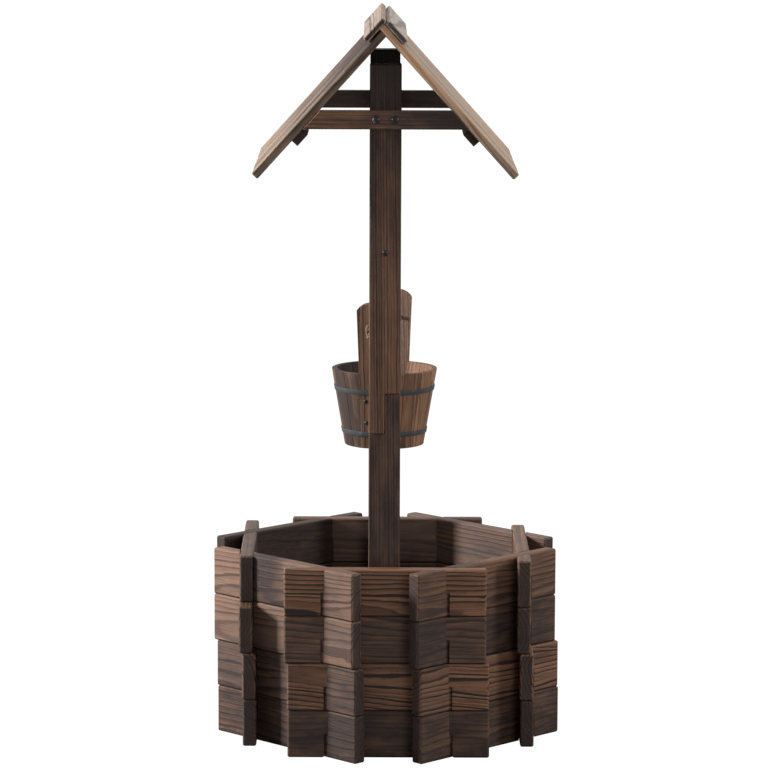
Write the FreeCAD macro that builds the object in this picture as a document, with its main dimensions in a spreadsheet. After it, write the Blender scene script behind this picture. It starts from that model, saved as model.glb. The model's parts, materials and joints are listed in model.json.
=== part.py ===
import FreeCAD, Part
import math
import os
import re
import Sketcher

# Wishing well planter: an octagonal bed of half-lapped boards, two spliced posts, a gabled roof of slats
# and a stave bucket that hangs from a bar on a rope. Millimetres, +X right, +Y away, +Z up, origin on the
# ground under the middle of the bed.

DOC = FreeCAD.newDocument("wishing_well_planter")
SHEET = DOC.addObject("Spreadsheet::Sheet", "sizes")
PARTS = []

SIDES = 8
TURN = 360.0 / SIDES
SIDE_NAMES = ("front", "front_right", "right", "back_right", "back", "back_left", "left", "front_left")
SLATS = 6
STAVES_PER_SIDE = 7
COURSE_DRIFT = (2, 1, -4, -4)
BOARD_SLIPS = {(4, "left"): "odd_board_slip", (4, "back"): "back_board_slip"}


# Driving dimensions in millimetres and degrees
SIZES = {
    # Bed of boards
    "bed_apothem": 235,  # centre of the bed to the outer face of a board
    "board_length": 322,  # length of every bed board
    "board_height": 76.5,  # height of every bed board, one course
    "board_thickness": 22,  # thickness of every bed board
    "board_ease": 2.2,  # eased edges of the bed boards
    "lap_gap": 0.3,  # clearance beside a board inside a lap notch
    "lap_slot": 4.5,  # open slot at the outer side of the lower notches
    "odd_board_slip": 35,  # the top left board stands this far back, its notches cut nearer its front end
    "back_board_slip": 4.5,  # the top back board lies this far along towards the right
    "course_lean": 1.0,  # sideways drift of the courses, lowest course to the right
    # Posts and braces
    "frame_offset": -6,  # sideways place of posts, roof and bucket
    "post_width": 50,  # post width, across the front
    "post_depth": 42,  # post depth, front to back
    "post_ease": 1.5,  # eased edges of the post pieces
    "splice_low": 520,  # ground to the lower shoulder of the post splice
    "splice_length": 64,  # length of the half-lap in the posts
    "post_head": 43.5,  # post top below the inside of the ridge
    "brace_drop": 114.5,  # top of a brace below the inside of the ridge
    "brace_height": 29.2,  # height of a brace
    "brace_thickness": 18,  # thickness of a brace
    # Roof
    "ridge_height": 1147.5,  # ground to the inside of the ridge
    "roof_slope": 48,  # slope of each roof side in degrees
    "roof_reach": 13,  # slats past the outer faces of the posts
    "slat_length": 301,  # length of a left slat, ridge to eave
    "slat_thickness": 12.5,  # thickness of a slat
    "slat_gap": 0.4,  # open joint between two slats
    "slat_ease": 1.2,  # eased edges of slats and caps
    "ridge_past": 15.5,  # right slats and right cap past the ridge
    "cap_thickness": 10,  # thickness of a ridge cap
    "right_cap_width": 43,  # width of the right ridge cap
    "left_cap_width": 45,  # width of the left ridge cap
    "left_cap_past": 19,  # upper edge of the left cap past the ridge
    "cap_overhang": 9,  # ridge caps past the slats at each end
    "batten_width": 25,  # width of a batten under the slats
    "batten_thickness": 13,  # thickness of a batten
    "batten_gap": 2.5,  # batten below the foot of the braces, along the slope
    "batten_setback": 13,  # batten end behind the outer face of a post
    # Bar and fasteners
    "bar_height": 808,  # ground to the centre of the rope bar
    "bar_diameter": 22,  # diameter of the rope bar
    "screw_head": 10,  # diameter of the head of a bar screw
    "screw_dome": 3,  # height of the head of a bar screw
    "brace_screw_head": 12.5,  # diameter of the head of a brace screw
    "brace_screw_dome": 3.5,  # height of the head of a brace screw
    "screw_shank": 5,  # diameter of a screw shank
    "screw_gap": 0.1,  # clearance round a screw shank
    "screw_bite": 24,  # screw length in the second piece
    "screw_spread": 30,  # distance between the two screws of a brace
    # Bucket and rope
    "hang_drop": 140,  # ear holes below the bar
    "hole_rise": 72,  # ear holes above the bucket's rim
    "ear_rise": 117,  # top of an ear above the rim
    "arch_rise": 12,  # height of the arch at the top of an ear
    "bucket_depth": 125,  # height of the staves
    "rim_radius": 86,  # corner radius of the stave ring at the rim
    "foot_radius": 64.5,  # corner radius of the stave ring at the foot
    "stave_thickness": 9,  # thickness of staves and ears
    "stave_gap": 0.3,  # open joint between two staves
    "ear_width": 44,  # width of an ear
    "ear_turn": 14,  # turn of the bucket about its upright axis in degrees
    "floor_rise": 8,  # bucket floor above the foot of the staves
    "floor_thickness": 9,  # thickness of the bucket floor
    "floor_gap": 0.2,  # clearance round the bucket floor
    "hoop_height": 8,  # height of a hoop
    "hoop_thickness": 1.2,  # thickness of a hoop
    "hoop_gap": 0.1,  # clearance between a hoop and the staves
    "upper_hoop": 31,  # middle of the upper hoop below the rim
    "lower_hoop": 24,  # middle of the lower hoop above the foot
    "rope_diameter": 6,  # rope diameter
    "rope_play": 1.5,  # clearance round the rope in an ear hole
    "bar_play": 0.4,  # clearance between rope and bar
    "rope_crossing": 12.4,  # shift of the rope along the bar, each side of its middle, as it goes over
    "rope_bend": 12,  # radius of the rope's middle where it turns up inside an ear
    "rope_lead": 12,  # straight rope between the inside of an ear and its turn
    "knot_radius": 6.5,  # radius of the knots outside the ears
    "knot_length": 27,  # height of a knot with its tail
    "knot_play": 2.0,  # clearance between a knot and its ear
}
for row, (alias, number) in enumerate(SIZES.items(), start=1):
    SHEET.set(f"A{row}", alias)
    SHEET.set(f"B{row}", str(number))
    SHEET.setAlias(f"B{row}", alias)
DOC.recompute()

# Derived sizes, as expressions on the sheet
INNER_FACE = "(bed_apothem - board_thickness)"
ROOF_HALF = f"({INNER_FACE} + roof_reach)"
SLAT_WIDTH = f"((2 * {ROOF_HALF} - {SLATS - 1} * slat_gap) / {SLATS})"
RIM_HEIGHT = "(bar_height - hang_drop - hole_rise)"
BRACE_MIDDLE = "(ridge_height - brace_drop - brace_height / 2)"


def linked(text):
    """Point every alias in an expression at the sheet."""
    return re.sub(r"[a-z]+(?:_[a-z]+)+", lambda found: "sizes." + found.group(0), text)


def value(text):
    """The number that an expression on the sheet gives now."""
    result = SHEET.evalExpression(linked(text))
    return float(getattr(result, "Value", result))


def bind(item, **expressions):
    """Bind properties of an object to expressions on the sheet."""
    for name, text in expressions.items():
        item.setExpression(name.replace("__", "."), linked(text))


def place(item, x="0", y="0", z="0", axis="0; 0; 1", turn="0"):
    """Bind an object's Placement to expressions on the sheet."""
    text = f"placement(vector({x}; {y}; {z}); rotation(vector({axis}); {turn}))"
    item.setExpression("Placement", linked(text))


def new_body(name):
    """A labelled PartDesign body, kept in the list of sub-parts."""
    body = DOC.addObject("PartDesign::Body", name)
    body.Label = name
    PARTS.append(body)
    return body


def new_feature(name, shape):
    """A labelled Part feature for a form that sketches don't suit, kept in the list of sub-parts."""
    feature = DOC.addObject("Part::Feature", name)
    feature.Label = name
    feature.Shape = shape
    PARTS.append(feature)
    return feature


def blank(body, length, width, height, x, y, z):
    """The squared-up timber that a piece starts from."""
    box = body.newObject("PartDesign::AdditiveBox", body.Name + "_blank")
    bind(box, Length=length, Width=width, Height=height)
    place(box, x, y, z)
    return box


def ease(body, base, amount):
    """Ease every edge of a blank."""
    edges = body.newObject("PartDesign::Chamfer", body.Name + "_ease")
    edges.Base = (base, [""])
    edges.UseAllEdges = True
    bind(edges, Size=amount)
    return edges


def new_sketch(body, name, role):
    """A sketch on one of the body's own origin planes."""
    sketch = body.newObject("Sketcher::SketchObject", f"{body.Name}_{name}")
    sketch.AttachmentSupport = [(next(p for p in body.Origin.OriginFeatures if p.Role == role), "")]
    sketch.MapMode = "FlatFace"
    return sketch


def polygon(sketch, corners):
    """A closed outline whose corners are pairs of expressions."""
    points = [FreeCAD.Vector(value(x), value(y), 0) for x, y in corners]
    first = sketch.GeometryCount
    lines = [Part.LineSegment(a, b) for a, b in zip(points, points[1:] + points[:1])]
    sketch.addGeometry(lines, False)
    for index, (x, y) in enumerate(corners):
        line = first + index
        following = first + (index + 1) % len(corners)
        sketch.addConstraint(Sketcher.Constraint("Coincident", line, 2, following, 1))
        for kind, text, number in (("DistanceX", x, points[index].x), ("DistanceY", y, points[index].y)):
            place_in = sketch.addConstraint(Sketcher.Constraint(kind, -1, 1, line, 1, number))
            sketch.renameConstraint(place_in, f"{kind}{line}")
            sketch.setExpression(f"Constraints.{kind}{line}", linked(text))


def drill(body, name, radius, length, x, y, z, towards_back=True):
    """A round hole along Y from a face into a body."""
    hole = body.newObject("PartDesign::SubtractiveCylinder", f"{body.Name}_{name}")
    bind(hole, Radius=radius, Height=length)
    place(hole, x, y, z, "1; 0; 0", "-90" if towards_back else "90")
    return hole


def lap_notch(sketch, end, over):
    """The outline of the notch for the neighbouring board at one end, cut across at the corner's angle."""
    run = f"tan({90 - TURN}) * board_thickness"
    corner = f"bed_apothem * tan({TURN / 2})"
    outer = f"{corner} + " + ("lap_slot" if over else "lap_gap")
    inner = f"{corner} - board_thickness / sin({TURN}) - lap_gap / sin({TURN})"
    polygon(sketch, (
        (f"{end}({inner} - {run})", "-board_thickness"),
        (f"{end}({outer} - {run})", "-board_thickness"),
        (f"{end}({outer} + 2 * {run})", "2 * board_thickness"),
        (f"{end}({inner} + 2 * {run})", "2 * board_thickness"),
    ))


def bed_board(course, side):
    """One bed board. At each corner the board that comes first in the ring lies over the other."""
    turn = side * TURN
    body = new_body(f"course_{course}_{SIDE_NAMES[side]}")
    slip = BOARD_SLIPS.get((course, SIDE_NAMES[side]), "0")
    timber = blank(body, "board_length", "board_thickness", "board_height",
                   f"-board_length / 2 - {slip}", "0", "0")
    ease(body, timber, "board_ease")
    ends = {"": (side + 1) % SIDES, "-": (side - 1) % SIDES}
    for over in (True, False):
        here = [end for end, neighbour in ends.items() if (side < neighbour) == over]
        if not here:
            continue
        kind = "lower" if over else "upper"
        notches = new_sketch(body, f"{kind}_notches", "XY_Plane")
        for end in here:
            lap_notch(notches, end, over)
        if not over:
            notches.setExpression("AttachmentOffset.Base.z", linked("board_height / 2"))
        laps = body.newObject("PartDesign::Pocket", f"{body.Name}_{kind}_laps")
        laps.Profile = notches
        laps.Reversed = True
        bind(laps, Length="board_height / 2")
    drift = COURSE_DRIFT[course - 1]
    place(body,
          f"course_lean * {drift} + bed_apothem * sin({turn})",
          f"-bed_apothem * cos({turn})",
          f"{course - 1} * board_height",
          turn=f"{turn}")


def post_pieces(side, turn, y):
    """The lower and upper piece of a post, joined by a half-lap down the middle."""
    upper_shoulder = "(splice_low + splice_length)"
    top = "(ridge_height - post_head)"
    outlines = {
        "lower": (("-post_width / 2", "0"), ("post_width / 2", "0"), ("post_width / 2", upper_shoulder),
                  ("0", upper_shoulder), ("0", "splice_low"), ("-post_width / 2", "splice_low")),
        "upper": (("-post_width / 2", "splice_low"), ("0", "splice_low"), ("0", upper_shoulder),
                  ("post_width / 2", upper_shoulder), ("post_width / 2", top), ("-post_width / 2", top)),
    }
    for piece, corners in outlines.items():
        body = new_body(f"post_{side}_{piece}")
        outline = new_sketch(body, "outline", "XZ_Plane")
        polygon(outline, corners)
        timber = body.newObject("PartDesign::Pad", body.Name + "_timber")
        timber.Profile = outline
        timber.Reversed = True
        bind(timber, Length="post_depth")
        ease(body, timber, "post_ease")
        if piece == "upper":
            hole = "screw_shank / 2 + screw_gap"
            for number, sign in enumerate(("-", "")):
                drill(body, f"brace_hole_{number}", hole, "screw_bite + screw_gap",
                      f"{sign}screw_spread / 2", "0", BRACE_MIDDLE)
            drill(body, "bar_hole", hole, "post_depth", "0", "0", "bar_height")
        place(body, "frame_offset", y, "0", turn=turn)


def brace(side, turn, y):
    """A brace across a post's outer face, its ends cut to the underside of the roof."""
    body = new_body(f"brace_{side}")
    outline = new_sketch(body, "outline", "XZ_Plane")
    top = "(ridge_height - brace_drop)"
    foot = f"({top} - brace_height)"
    reach_top = "brace_drop / tan(roof_slope)"
    reach_foot = "(brace_drop + brace_height) / tan(roof_slope)"
    polygon(outline, ((f"-{reach_foot}", foot), (reach_foot, foot), (reach_top, top), (f"-{reach_top}", top)))
    timber = body.newObject("PartDesign::Pad", body.Name + "_timber")
    timber.Profile = outline
    bind(timber, Length="brace_thickness")
    for number, sign in enumerate(("-", "")):
        drill(body, f"hole_{number}", "screw_shank / 2 + screw_gap", "brace_thickness",
              f"{sign}screw_spread / 2", "-brace_thickness", BRACE_MIDDLE)
    place(body, "frame_offset", y, "0", turn=turn)


def slat(side, number):
    """One roof slat, laid from ridge to eave. The right slats run over the ends of the left slats."""
    body = new_body(f"slat_{side}_{number}")
    start = f"(-{ROOF_HALF} + {number - 1} * ({SLAT_WIDTH} + slat_gap))"
    if side == "left":
        timber = blank(body, "slat_length", SLAT_WIDTH, "slat_thickness", "-slat_length", start, "0")
    else:
        timber = blank(body, "slat_length + ridge_past", SLAT_WIDTH, "slat_thickness", "-ridge_past", start, "0")
    ease(body, timber, "slat_ease")
    on_slope(body, side)


def on_slope(body, side):
    """Lay a piece on the left or right roof side, turned about the inside of the ridge."""
    sign = "-" if side == "left" else ""
    place(body, "frame_offset", "0", "ridge_height", "0; 1; 0", f"{sign}roof_slope")


def ridge_cap(side):
    """One ridge cap. The left cap rests on the raised ends of the right slats."""
    body = new_body(f"ridge_cap_{side}")
    length = f"(2 * ({ROOF_HALF} + cap_overhang))"
    start = f"-({ROOF_HALF} + cap_overhang)"
    if side == "left":
        seat = "ridge_past * sin(2 * roof_slope)"
        timber = blank(body, "left_cap_width", length, "cap_thickness",
                       "left_cap_past - left_cap_width", start, seat)
    else:
        timber = blank(body, "right_cap_width", length, "cap_thickness", "-ridge_past", start, "slat_thickness")
    ease(body, timber, "slat_ease")
    on_slope(body, side)


def batten_shape(sign):
    """A batten under one roof side, just below the foot of the braces."""
    top = value("(brace_drop + brace_height) / sin(roof_slope) + batten_gap")
    width = value("batten_width")
    thickness = value("batten_thickness")
    half = value(f"{INNER_FACE} - batten_setback")
    start = top if sign > 0 else -top - width
    shape = Part.makeBox(width, 2 * half, thickness, FreeCAD.Vector(start, -half, -thickness))
    turn = FreeCAD.Rotation(FreeCAD.Vector(0, 1, 0), sign * value("roof_slope"))
    shape.Placement = FreeCAD.Placement(
        FreeCAD.Vector(value("frame_offset"), 0, value("ridge_height")), turn)
    return shape


def rope_bar():
    """The round bar between the posts, drilled at both ends for its screws."""
    body = new_body("rope_bar")
    half = f"({INNER_FACE} - post_depth)"
    bar = body.newObject("PartDesign::AdditiveCylinder", "rope_bar_round")
    bind(bar, Radius="bar_diameter / 2", Height=f"2 * {half}")
    place(bar, "0", f"-{half}", "0", "1; 0; 0", "-90")
    depth = "screw_bite + screw_gap"
    drill(body, "front_hole", "screw_shank / 2 + screw_gap", depth, "0", f"-{half}", "0")
    drill(body, "back_hole", "screw_shank / 2 + screw_gap", depth, "0", half, "0", towards_back=False)
    place(body, "frame_offset", "0", "bar_height")


def domed_screw(head, dome, length):
    """A domed screw along +Z, its head's flat face at the origin and its shank below."""
    shank = value("screw_shank / 2")
    ball = (head ** 2 + dome ** 2) / (2 * dome)
    half = math.asin(head / ball) / 2
    middle = FreeCAD.Vector(ball * math.sin(half), 0, dome - ball + ball * math.cos(half))
    corners = [FreeCAD.Vector(0, 0, dome), FreeCAD.Vector(0, 0, -length), FreeCAD.Vector(shank, 0, -length),
               FreeCAD.Vector(shank, 0, 0), FreeCAD.Vector(head, 0, 0)]
    edges = [Part.makeLine(a, b) for a, b in zip(corners, corners[1:])]
    edges.append(Part.Arc(corners[-1], middle, corners[0]).toShape())
    face = Part.Face(Part.Wire(edges))
    return face.revolve(FreeCAD.Vector(0, 0, 0), FreeCAD.Vector(0, 0, 1), 360)


def frame_screws():
    """The domed screws of the braces and of the rope bar, as one group."""
    screws = []
    face = value(INNER_FACE)
    brace_screw = [value(text) for text in (
        "brace_screw_head / 2", "brace_screw_dome", "brace_thickness + screw_bite")]
    bar_screw = [value(text) for text in ("screw_head / 2", "screw_dome", "post_depth + screw_bite")]
    for side in (-1, 1):
        turn = FreeCAD.Rotation(FreeCAD.Vector(1, 0, 0), -90 * side)
        seats = [(sign * value("screw_spread / 2"), face + value("brace_thickness"), value(BRACE_MIDDLE),
                  brace_screw) for sign in (-1, 1)]
        seats.append((0, face, value("bar_height"), bar_screw))
        for x, y, z, kind in seats:
            screw = domed_screw(*kind)
            screw.Placement = FreeCAD.Placement(
                FreeCAD.Vector(value("frame_offset") + x, side * y, z), turn)
            screws.append(screw)
    new_feature("frame_screws", Part.makeCompound(screws))


def ring_angles():
    """Corner angles of the plain staves on the right side in degrees, from the front ear to the back ear."""
    ear_half = math.degrees(math.asin(value("ear_width / 2") / value("rim_radius")))
    step = (180 - 2 * ear_half) / STAVES_PER_SIDE
    return [-90 + ear_half + step * number for number in range(STAVES_PER_SIDE + 1)]


def ring_radius(height):
    """Corner radius of the stave ring at a height above the foot."""
    return value("foot_radius") + height * value("(rim_radius - foot_radius) / bucket_depth")


def ear_face(height):
    """Distance of an ear's outer face from the bucket's upright axis at a height above the foot."""
    return ring_radius(height) * math.cos(math.radians(ring_angles()[0] + 90))


def ring_point(angle, radius, height, shift=0):
    """A point on the stave ring, moved along the ring by a shift."""
    turn = math.radians(angle)
    across = FreeCAD.Vector(-math.sin(turn), math.cos(turn), 0)
    return FreeCAD.Vector(radius * math.cos(turn), radius * math.sin(turn), height) + across * shift


def flat_sided(bottom, top):
    """A solid between two outlines with as many corners, all of its faces flat."""
    sides = [[a, b, c, d] for a, b, c, d in
             zip(bottom, bottom[1:] + bottom[:1], top[1:] + top[:1], top)]
    faces = [Part.Face(Part.makePolygon(corners + corners[:1])) for corners in [bottom, top] + sides]
    return Part.Solid(Part.Shell(faces))


def stave(start, end):
    """One straight stave between two corner angles, from foot to rim."""
    wall = value("stave_thickness") / math.cos(math.radians(end - start) / 2)
    shift = value("stave_gap") / 2
    outlines = []
    for height in (0, value("bucket_depth")):
        radius = ring_radius(height)
        outlines.append([ring_point(start, radius, height, shift), ring_point(end, radius, height, -shift),
                         ring_point(end, radius - wall, height, -shift),
                         ring_point(start, radius - wall, height, shift)])
    return flat_sided(*outlines)


def on_bucket(feature):
    """Hang a piece of the bucket under the bar, turned about the upright axis."""
    place(feature, "frame_offset", "0", f"{RIM_HEIGHT} - bucket_depth", turn="-ear_turn")


def bucket_staves():
    """The plain staves on both sides, cut beside the straight ears."""
    reach = 2 * value("rim_radius")
    slot_width = value("ear_width + 2 * stave_gap")
    slot = Part.makeBox(slot_width, 2 * reach, reach, FreeCAD.Vector(-slot_width / 2, -reach, 0))
    angles = ring_angles()
    right = [stave(*span).cut(slot) for span in zip(angles, angles[1:])]
    left = [piece.copy() for piece in right]
    for piece in left:
        piece.rotate(FreeCAD.Vector(0, 0, 0), FreeCAD.Vector(0, 0, 1), 180)
    on_bucket(new_feature("bucket_staves", Part.makeCompound(right + left)))


def ear():
    """The front ear: a long straight stave with an arched top, bored for the rope."""
    depth = value("bucket_depth")
    lean = math.atan2(ear_face(depth) - ear_face(0), depth)
    half = value("ear_width / 2")
    rise = value("ear_rise") / math.cos(lean)
    shoulder = rise - value("arch_rise")
    below = -depth / math.cos(lean) - value("stave_thickness")
    corners = [FreeCAD.Vector(-half, 0, shoulder), FreeCAD.Vector(-half, 0, below),
               FreeCAD.Vector(half, 0, below), FreeCAD.Vector(half, 0, shoulder)]
    edges = [Part.makeLine(a, b) for a, b in zip(corners, corners[1:])]
    edges.append(Part.Arc(corners[-1], FreeCAD.Vector(0, 0, rise), corners[0]).toShape())
    board = Part.Face(Part.Wire(edges)).extrude(FreeCAD.Vector(0, value("stave_thickness"), 0))
    board.Placement = FreeCAD.Placement(
        FreeCAD.Vector(0, -ear_face(depth), depth),
        FreeCAD.Rotation(FreeCAD.Vector(1, 0, 0), math.degrees(lean)))
    reach = 4 * value("rim_radius")
    below_foot = Part.makeBox(reach, reach, reach, FreeCAD.Vector(-reach / 2, -reach / 2, -reach))
    hole = Part.makeCylinder(value("rope_diameter / 2 + rope_play"), reach,
                             FreeCAD.Vector(0, -reach, depth + value("hole_rise")), FreeCAD.Vector(0, 1, 0))
    return board.cut(below_foot).cut(hole)


def bucket_ears():
    """The two opposite ears, with the rope holes."""
    front = ear()
    back = front.copy()
    back.rotate(FreeCAD.Vector(0, 0, 0), FreeCAD.Vector(0, 0, 1), 180)
    on_bucket(new_feature("bucket_ears", Part.makeCompound([front, back])))


def bucket_floor():
    """The round floor board inside the staves."""
    low = value("floor_rise")
    inside = ear_face(low) - value("stave_thickness + 2 * floor_gap")
    board = Part.makeCylinder(inside, value("floor_thickness"), FreeCAD.Vector(0, 0, low))
    on_bucket(new_feature("bucket_floor", board))


def hoop_outline(height, offset):
    """The line of a tight hoop over the ears' edges and the corners of the staves."""
    half = value("ear_width / 2") + offset
    face = ear_face(height) + offset
    right = [FreeCAD.Vector(half, -face, height)]
    right += [ring_point(angle, ring_radius(height) + offset, height) for angle in ring_angles()[1:-1]]
    right.append(FreeCAD.Vector(half, face, height))
    corners = right + [FreeCAD.Vector(-point.x, -point.y, height) for point in right]
    return Part.makePolygon(corners + corners[:1])


def bucket_hoops():
    """The two flat hoops round the staves and ears."""
    half = value("hoop_height / 2")
    gap = value("hoop_gap")
    hoops = []
    for middle in (value("lower_hoop"), value("bucket_depth - upper_hoop")):
        outer, inner = [
            Part.makeLoft([hoop_outline(middle - half, offset), hoop_outline(middle + half, offset)], True, True)
            for offset in (gap + value("hoop_thickness"), gap)]
        hoops.append(outer.cut(inner))
    on_bucket(new_feature("bucket_hoops", Part.makeCompound(hoops)))


def rope_line(points, radii):
    """Straight runs joined by tangent arcs, with one radius for each inner point."""
    edges = []
    start = points[0]
    for before, corner, after, radius in zip(points, points[1:], points[2:], radii):
        into = (before - corner).normalize()
        out = (after - corner).normalize()
        opening = into.getAngle(out)
        back = radius / math.tan(opening / 2)
        first = corner + into * back
        last = corner + out * back
        bisector = (into + out).normalize()
        middle = corner + bisector * (radius / math.sin(opening / 2) - radius)
        edges.append(Part.makeLine(start, first))
        edges.append(Part.Arc(first, middle, last).toShape())
        start = last
    edges.append(Part.makeLine(start, points[-1]))
    return Part.Wire(edges)


def knot_shape(middle):
    """A knot with its short tail, rounded at both ends."""
    radius = value("knot_radius")
    straight = value("knot_length") - 2 * radius
    low = middle - FreeCAD.Vector(0, 0, straight / 2)
    ends = [Part.makeSphere(radius, low + FreeCAD.Vector(0, 0, rise)) for rise in (0, straight)]
    return Part.makeCylinder(radius, straight, low).fuse(ends).removeSplitter()


def bucket_rope():
    """The rope: knotted outside one ear, up over the bar and down to the knot outside the other ear."""
    radius = value("rope_diameter / 2")
    turn = value("ear_turn")
    hole = value("bar_height - hang_drop")
    face = ear_face(value("bucket_depth + hole_rise"))
    inside = face - value("stave_thickness + rope_lead")
    bend = value("rope_bend")
    knot = face + value("knot_play + knot_radius")
    over = value("bar_diameter / 2 + bar_play") + radius
    bar = value("bar_height")
    near = FreeCAD.Rotation(FreeCAD.Vector(0, 0, 1), -turn)
    crossing = value("rope_crossing")
    half_line = [near.multVec(FreeCAD.Vector(0, -knot, hole)), near.multVec(FreeCAD.Vector(0, -inside, hole)),
                 FreeCAD.Vector(-over, -crossing, bar + over)]
    far_line = [FreeCAD.Vector(-p.x, -p.y, p.z) for p in reversed(half_line)]
    line = rope_line(half_line + far_line, [bend, over, over, bend])
    start = half_line[0]
    along = half_line[1] - start
    section = Part.Wire(Part.makeCircle(radius, start, along))
    tube = line.makePipeShell([section], True, False)
    knots = [knot_shape(point) for point in (start, far_line[-1])]
    rope = tube.fuse(knots)
    feature = new_feature("bucket_rope", rope)
    place(feature, "frame_offset")
    print("rope length", round(line.Length, 1), "volume", round(tube.Volume, 1),
          "section times length", round(math.pi * radius ** 2 * line.Length, 1),
          "radii", round(bend, 1), round(over, 1))


for course in range(1, len(COURSE_DRIFT) + 1):
    for side in range(SIDES):
        bed_board(course, side)
for side, turn, y in (("front", "0", f"-{INNER_FACE}"), ("back", "180", INNER_FACE)):
    post_pieces(side, turn, y)
    brace(side, turn, y)
for side in ("left", "right"):
    for number in range(1, SLATS + 1):
        slat(side, number)
    ridge_cap(side)
new_feature("roof_battens", Part.makeCompound([batten_shape(-1), batten_shape(1)]))
rope_bar()
frame_screws()
bucket_staves()
bucket_ears()
bucket_floor()
bucket_hoops()
bucket_rope()
DOC.recompute()

for item in DOC.Objects:
    if "Invalid" in item.State or "Error" in item.State:
        raise RuntimeError(f"{item.Label}: {item.State}")
os.makedirs("parts", exist_ok=True)
for item in PARTS:
    if item.Shape.isNull() or not item.Shape.isValid():
        raise RuntimeError(f"{item.Label} has no valid shape")
for item in PARTS:
    item.Shape.exportStep(f"parts/{item.Label}.step")
print(len(PARTS), "sub-parts written")
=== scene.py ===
"""Looks of a wishing well planter in scorched softwood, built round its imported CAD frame."""
from __future__ import annotations

import json
import logging
import math
import random
from dataclasses import dataclass, field
from enum import Enum
from typing import Callable, Iterable, Sequence

import bmesh
import bpy
from mathutils import Matrix, Vector

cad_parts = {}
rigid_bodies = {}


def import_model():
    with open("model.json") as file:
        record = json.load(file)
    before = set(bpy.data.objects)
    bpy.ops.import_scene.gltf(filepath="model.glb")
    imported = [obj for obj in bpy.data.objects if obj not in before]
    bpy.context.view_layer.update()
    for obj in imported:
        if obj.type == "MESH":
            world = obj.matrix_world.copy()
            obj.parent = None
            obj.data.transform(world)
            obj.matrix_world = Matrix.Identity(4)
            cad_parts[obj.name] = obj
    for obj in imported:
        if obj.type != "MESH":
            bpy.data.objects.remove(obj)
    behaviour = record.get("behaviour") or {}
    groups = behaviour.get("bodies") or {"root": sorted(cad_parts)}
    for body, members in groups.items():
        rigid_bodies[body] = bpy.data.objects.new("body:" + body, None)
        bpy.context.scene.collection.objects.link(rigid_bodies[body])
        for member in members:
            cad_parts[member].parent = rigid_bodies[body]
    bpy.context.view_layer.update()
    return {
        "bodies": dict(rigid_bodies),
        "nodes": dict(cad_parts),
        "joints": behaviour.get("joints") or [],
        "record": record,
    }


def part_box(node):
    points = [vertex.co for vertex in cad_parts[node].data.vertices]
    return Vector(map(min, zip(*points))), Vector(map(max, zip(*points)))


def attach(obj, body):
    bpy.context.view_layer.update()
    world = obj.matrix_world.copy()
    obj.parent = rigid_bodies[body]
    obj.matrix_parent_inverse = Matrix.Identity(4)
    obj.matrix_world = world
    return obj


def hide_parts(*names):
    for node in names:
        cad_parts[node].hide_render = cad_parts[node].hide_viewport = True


LOG = logging.getLogger("wishing_well")

Colour = tuple[float, float, float]
Point = tuple[float, float, float]

# Sizes are in metres. The planter stands on the ground with its front towards -Y.
MM = 0.001
RIGHT = Vector((1, 0, 0))
BACK = Vector((0, 1, 0))
UP = Vector((0, 0, 1))

# The sides of the bed, from the front round to the right, and its courses of boards.
SIDE_NAMES = ("front", "front_right", "right", "back_right", "back", "back_left", "left", "front_left")
COURSES = 4

# The posts, the roof and the bucket stand a little left of the bed's middle.
FRAME_X = -6 * MM
ROOF_SLOPE = math.radians(48)
RIDGE_Z = 1147.5 * MM
BAR_Z = 808 * MM

# The bucket hangs turned about the upright, by the holes in its ears.
EAR_TURN = math.radians(-14)
EAR_HOLE_Z = 668 * MM
BUCKET_FOOT_Z = 471 * MM

# The studio's white is a little over one, so that the picture's ground is full white.
WHITE: Colour = (1.0, 1.0, 1.0)
SEEN_WHITE = 1.05


class Body(Enum):
    """The moving bodies of the CAD frame."""

    PLANTER = "planter"
    SLING = "sling"
    BUCKET = "bucket"


class Slot(Enum):
    """The material slots of the CAD record."""

    BED = "bed_board"
    POST = "post_timber"
    BRACE = "brace_timber"
    SLAT = "roof_slat"
    CAP = "ridge_cap"
    BAR = "bar_timber"
    SCREW = "screw_steel"
    BUCKET = "bucket_timber"
    HOOP = "hoop_steel"
    ROPE = "rope_fibre"


class Blend(Enum):
    """The ways to mix two colours."""

    MIX = "MIX"
    MULTIPLY = "MULTIPLY"


class Domain(Enum):
    """The elements of a mesh that carry an attribute."""

    POINT = "POINT"
    CORNER = "CORNER"


class Seed(Enum):
    """The fixed seeds of the Geometry Nodes trees."""

    LOG = 3
    SCREW_TURN = 4
    BURN = 5
    SIDE = 8
    SLIP = 11


# Shader maths


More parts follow.
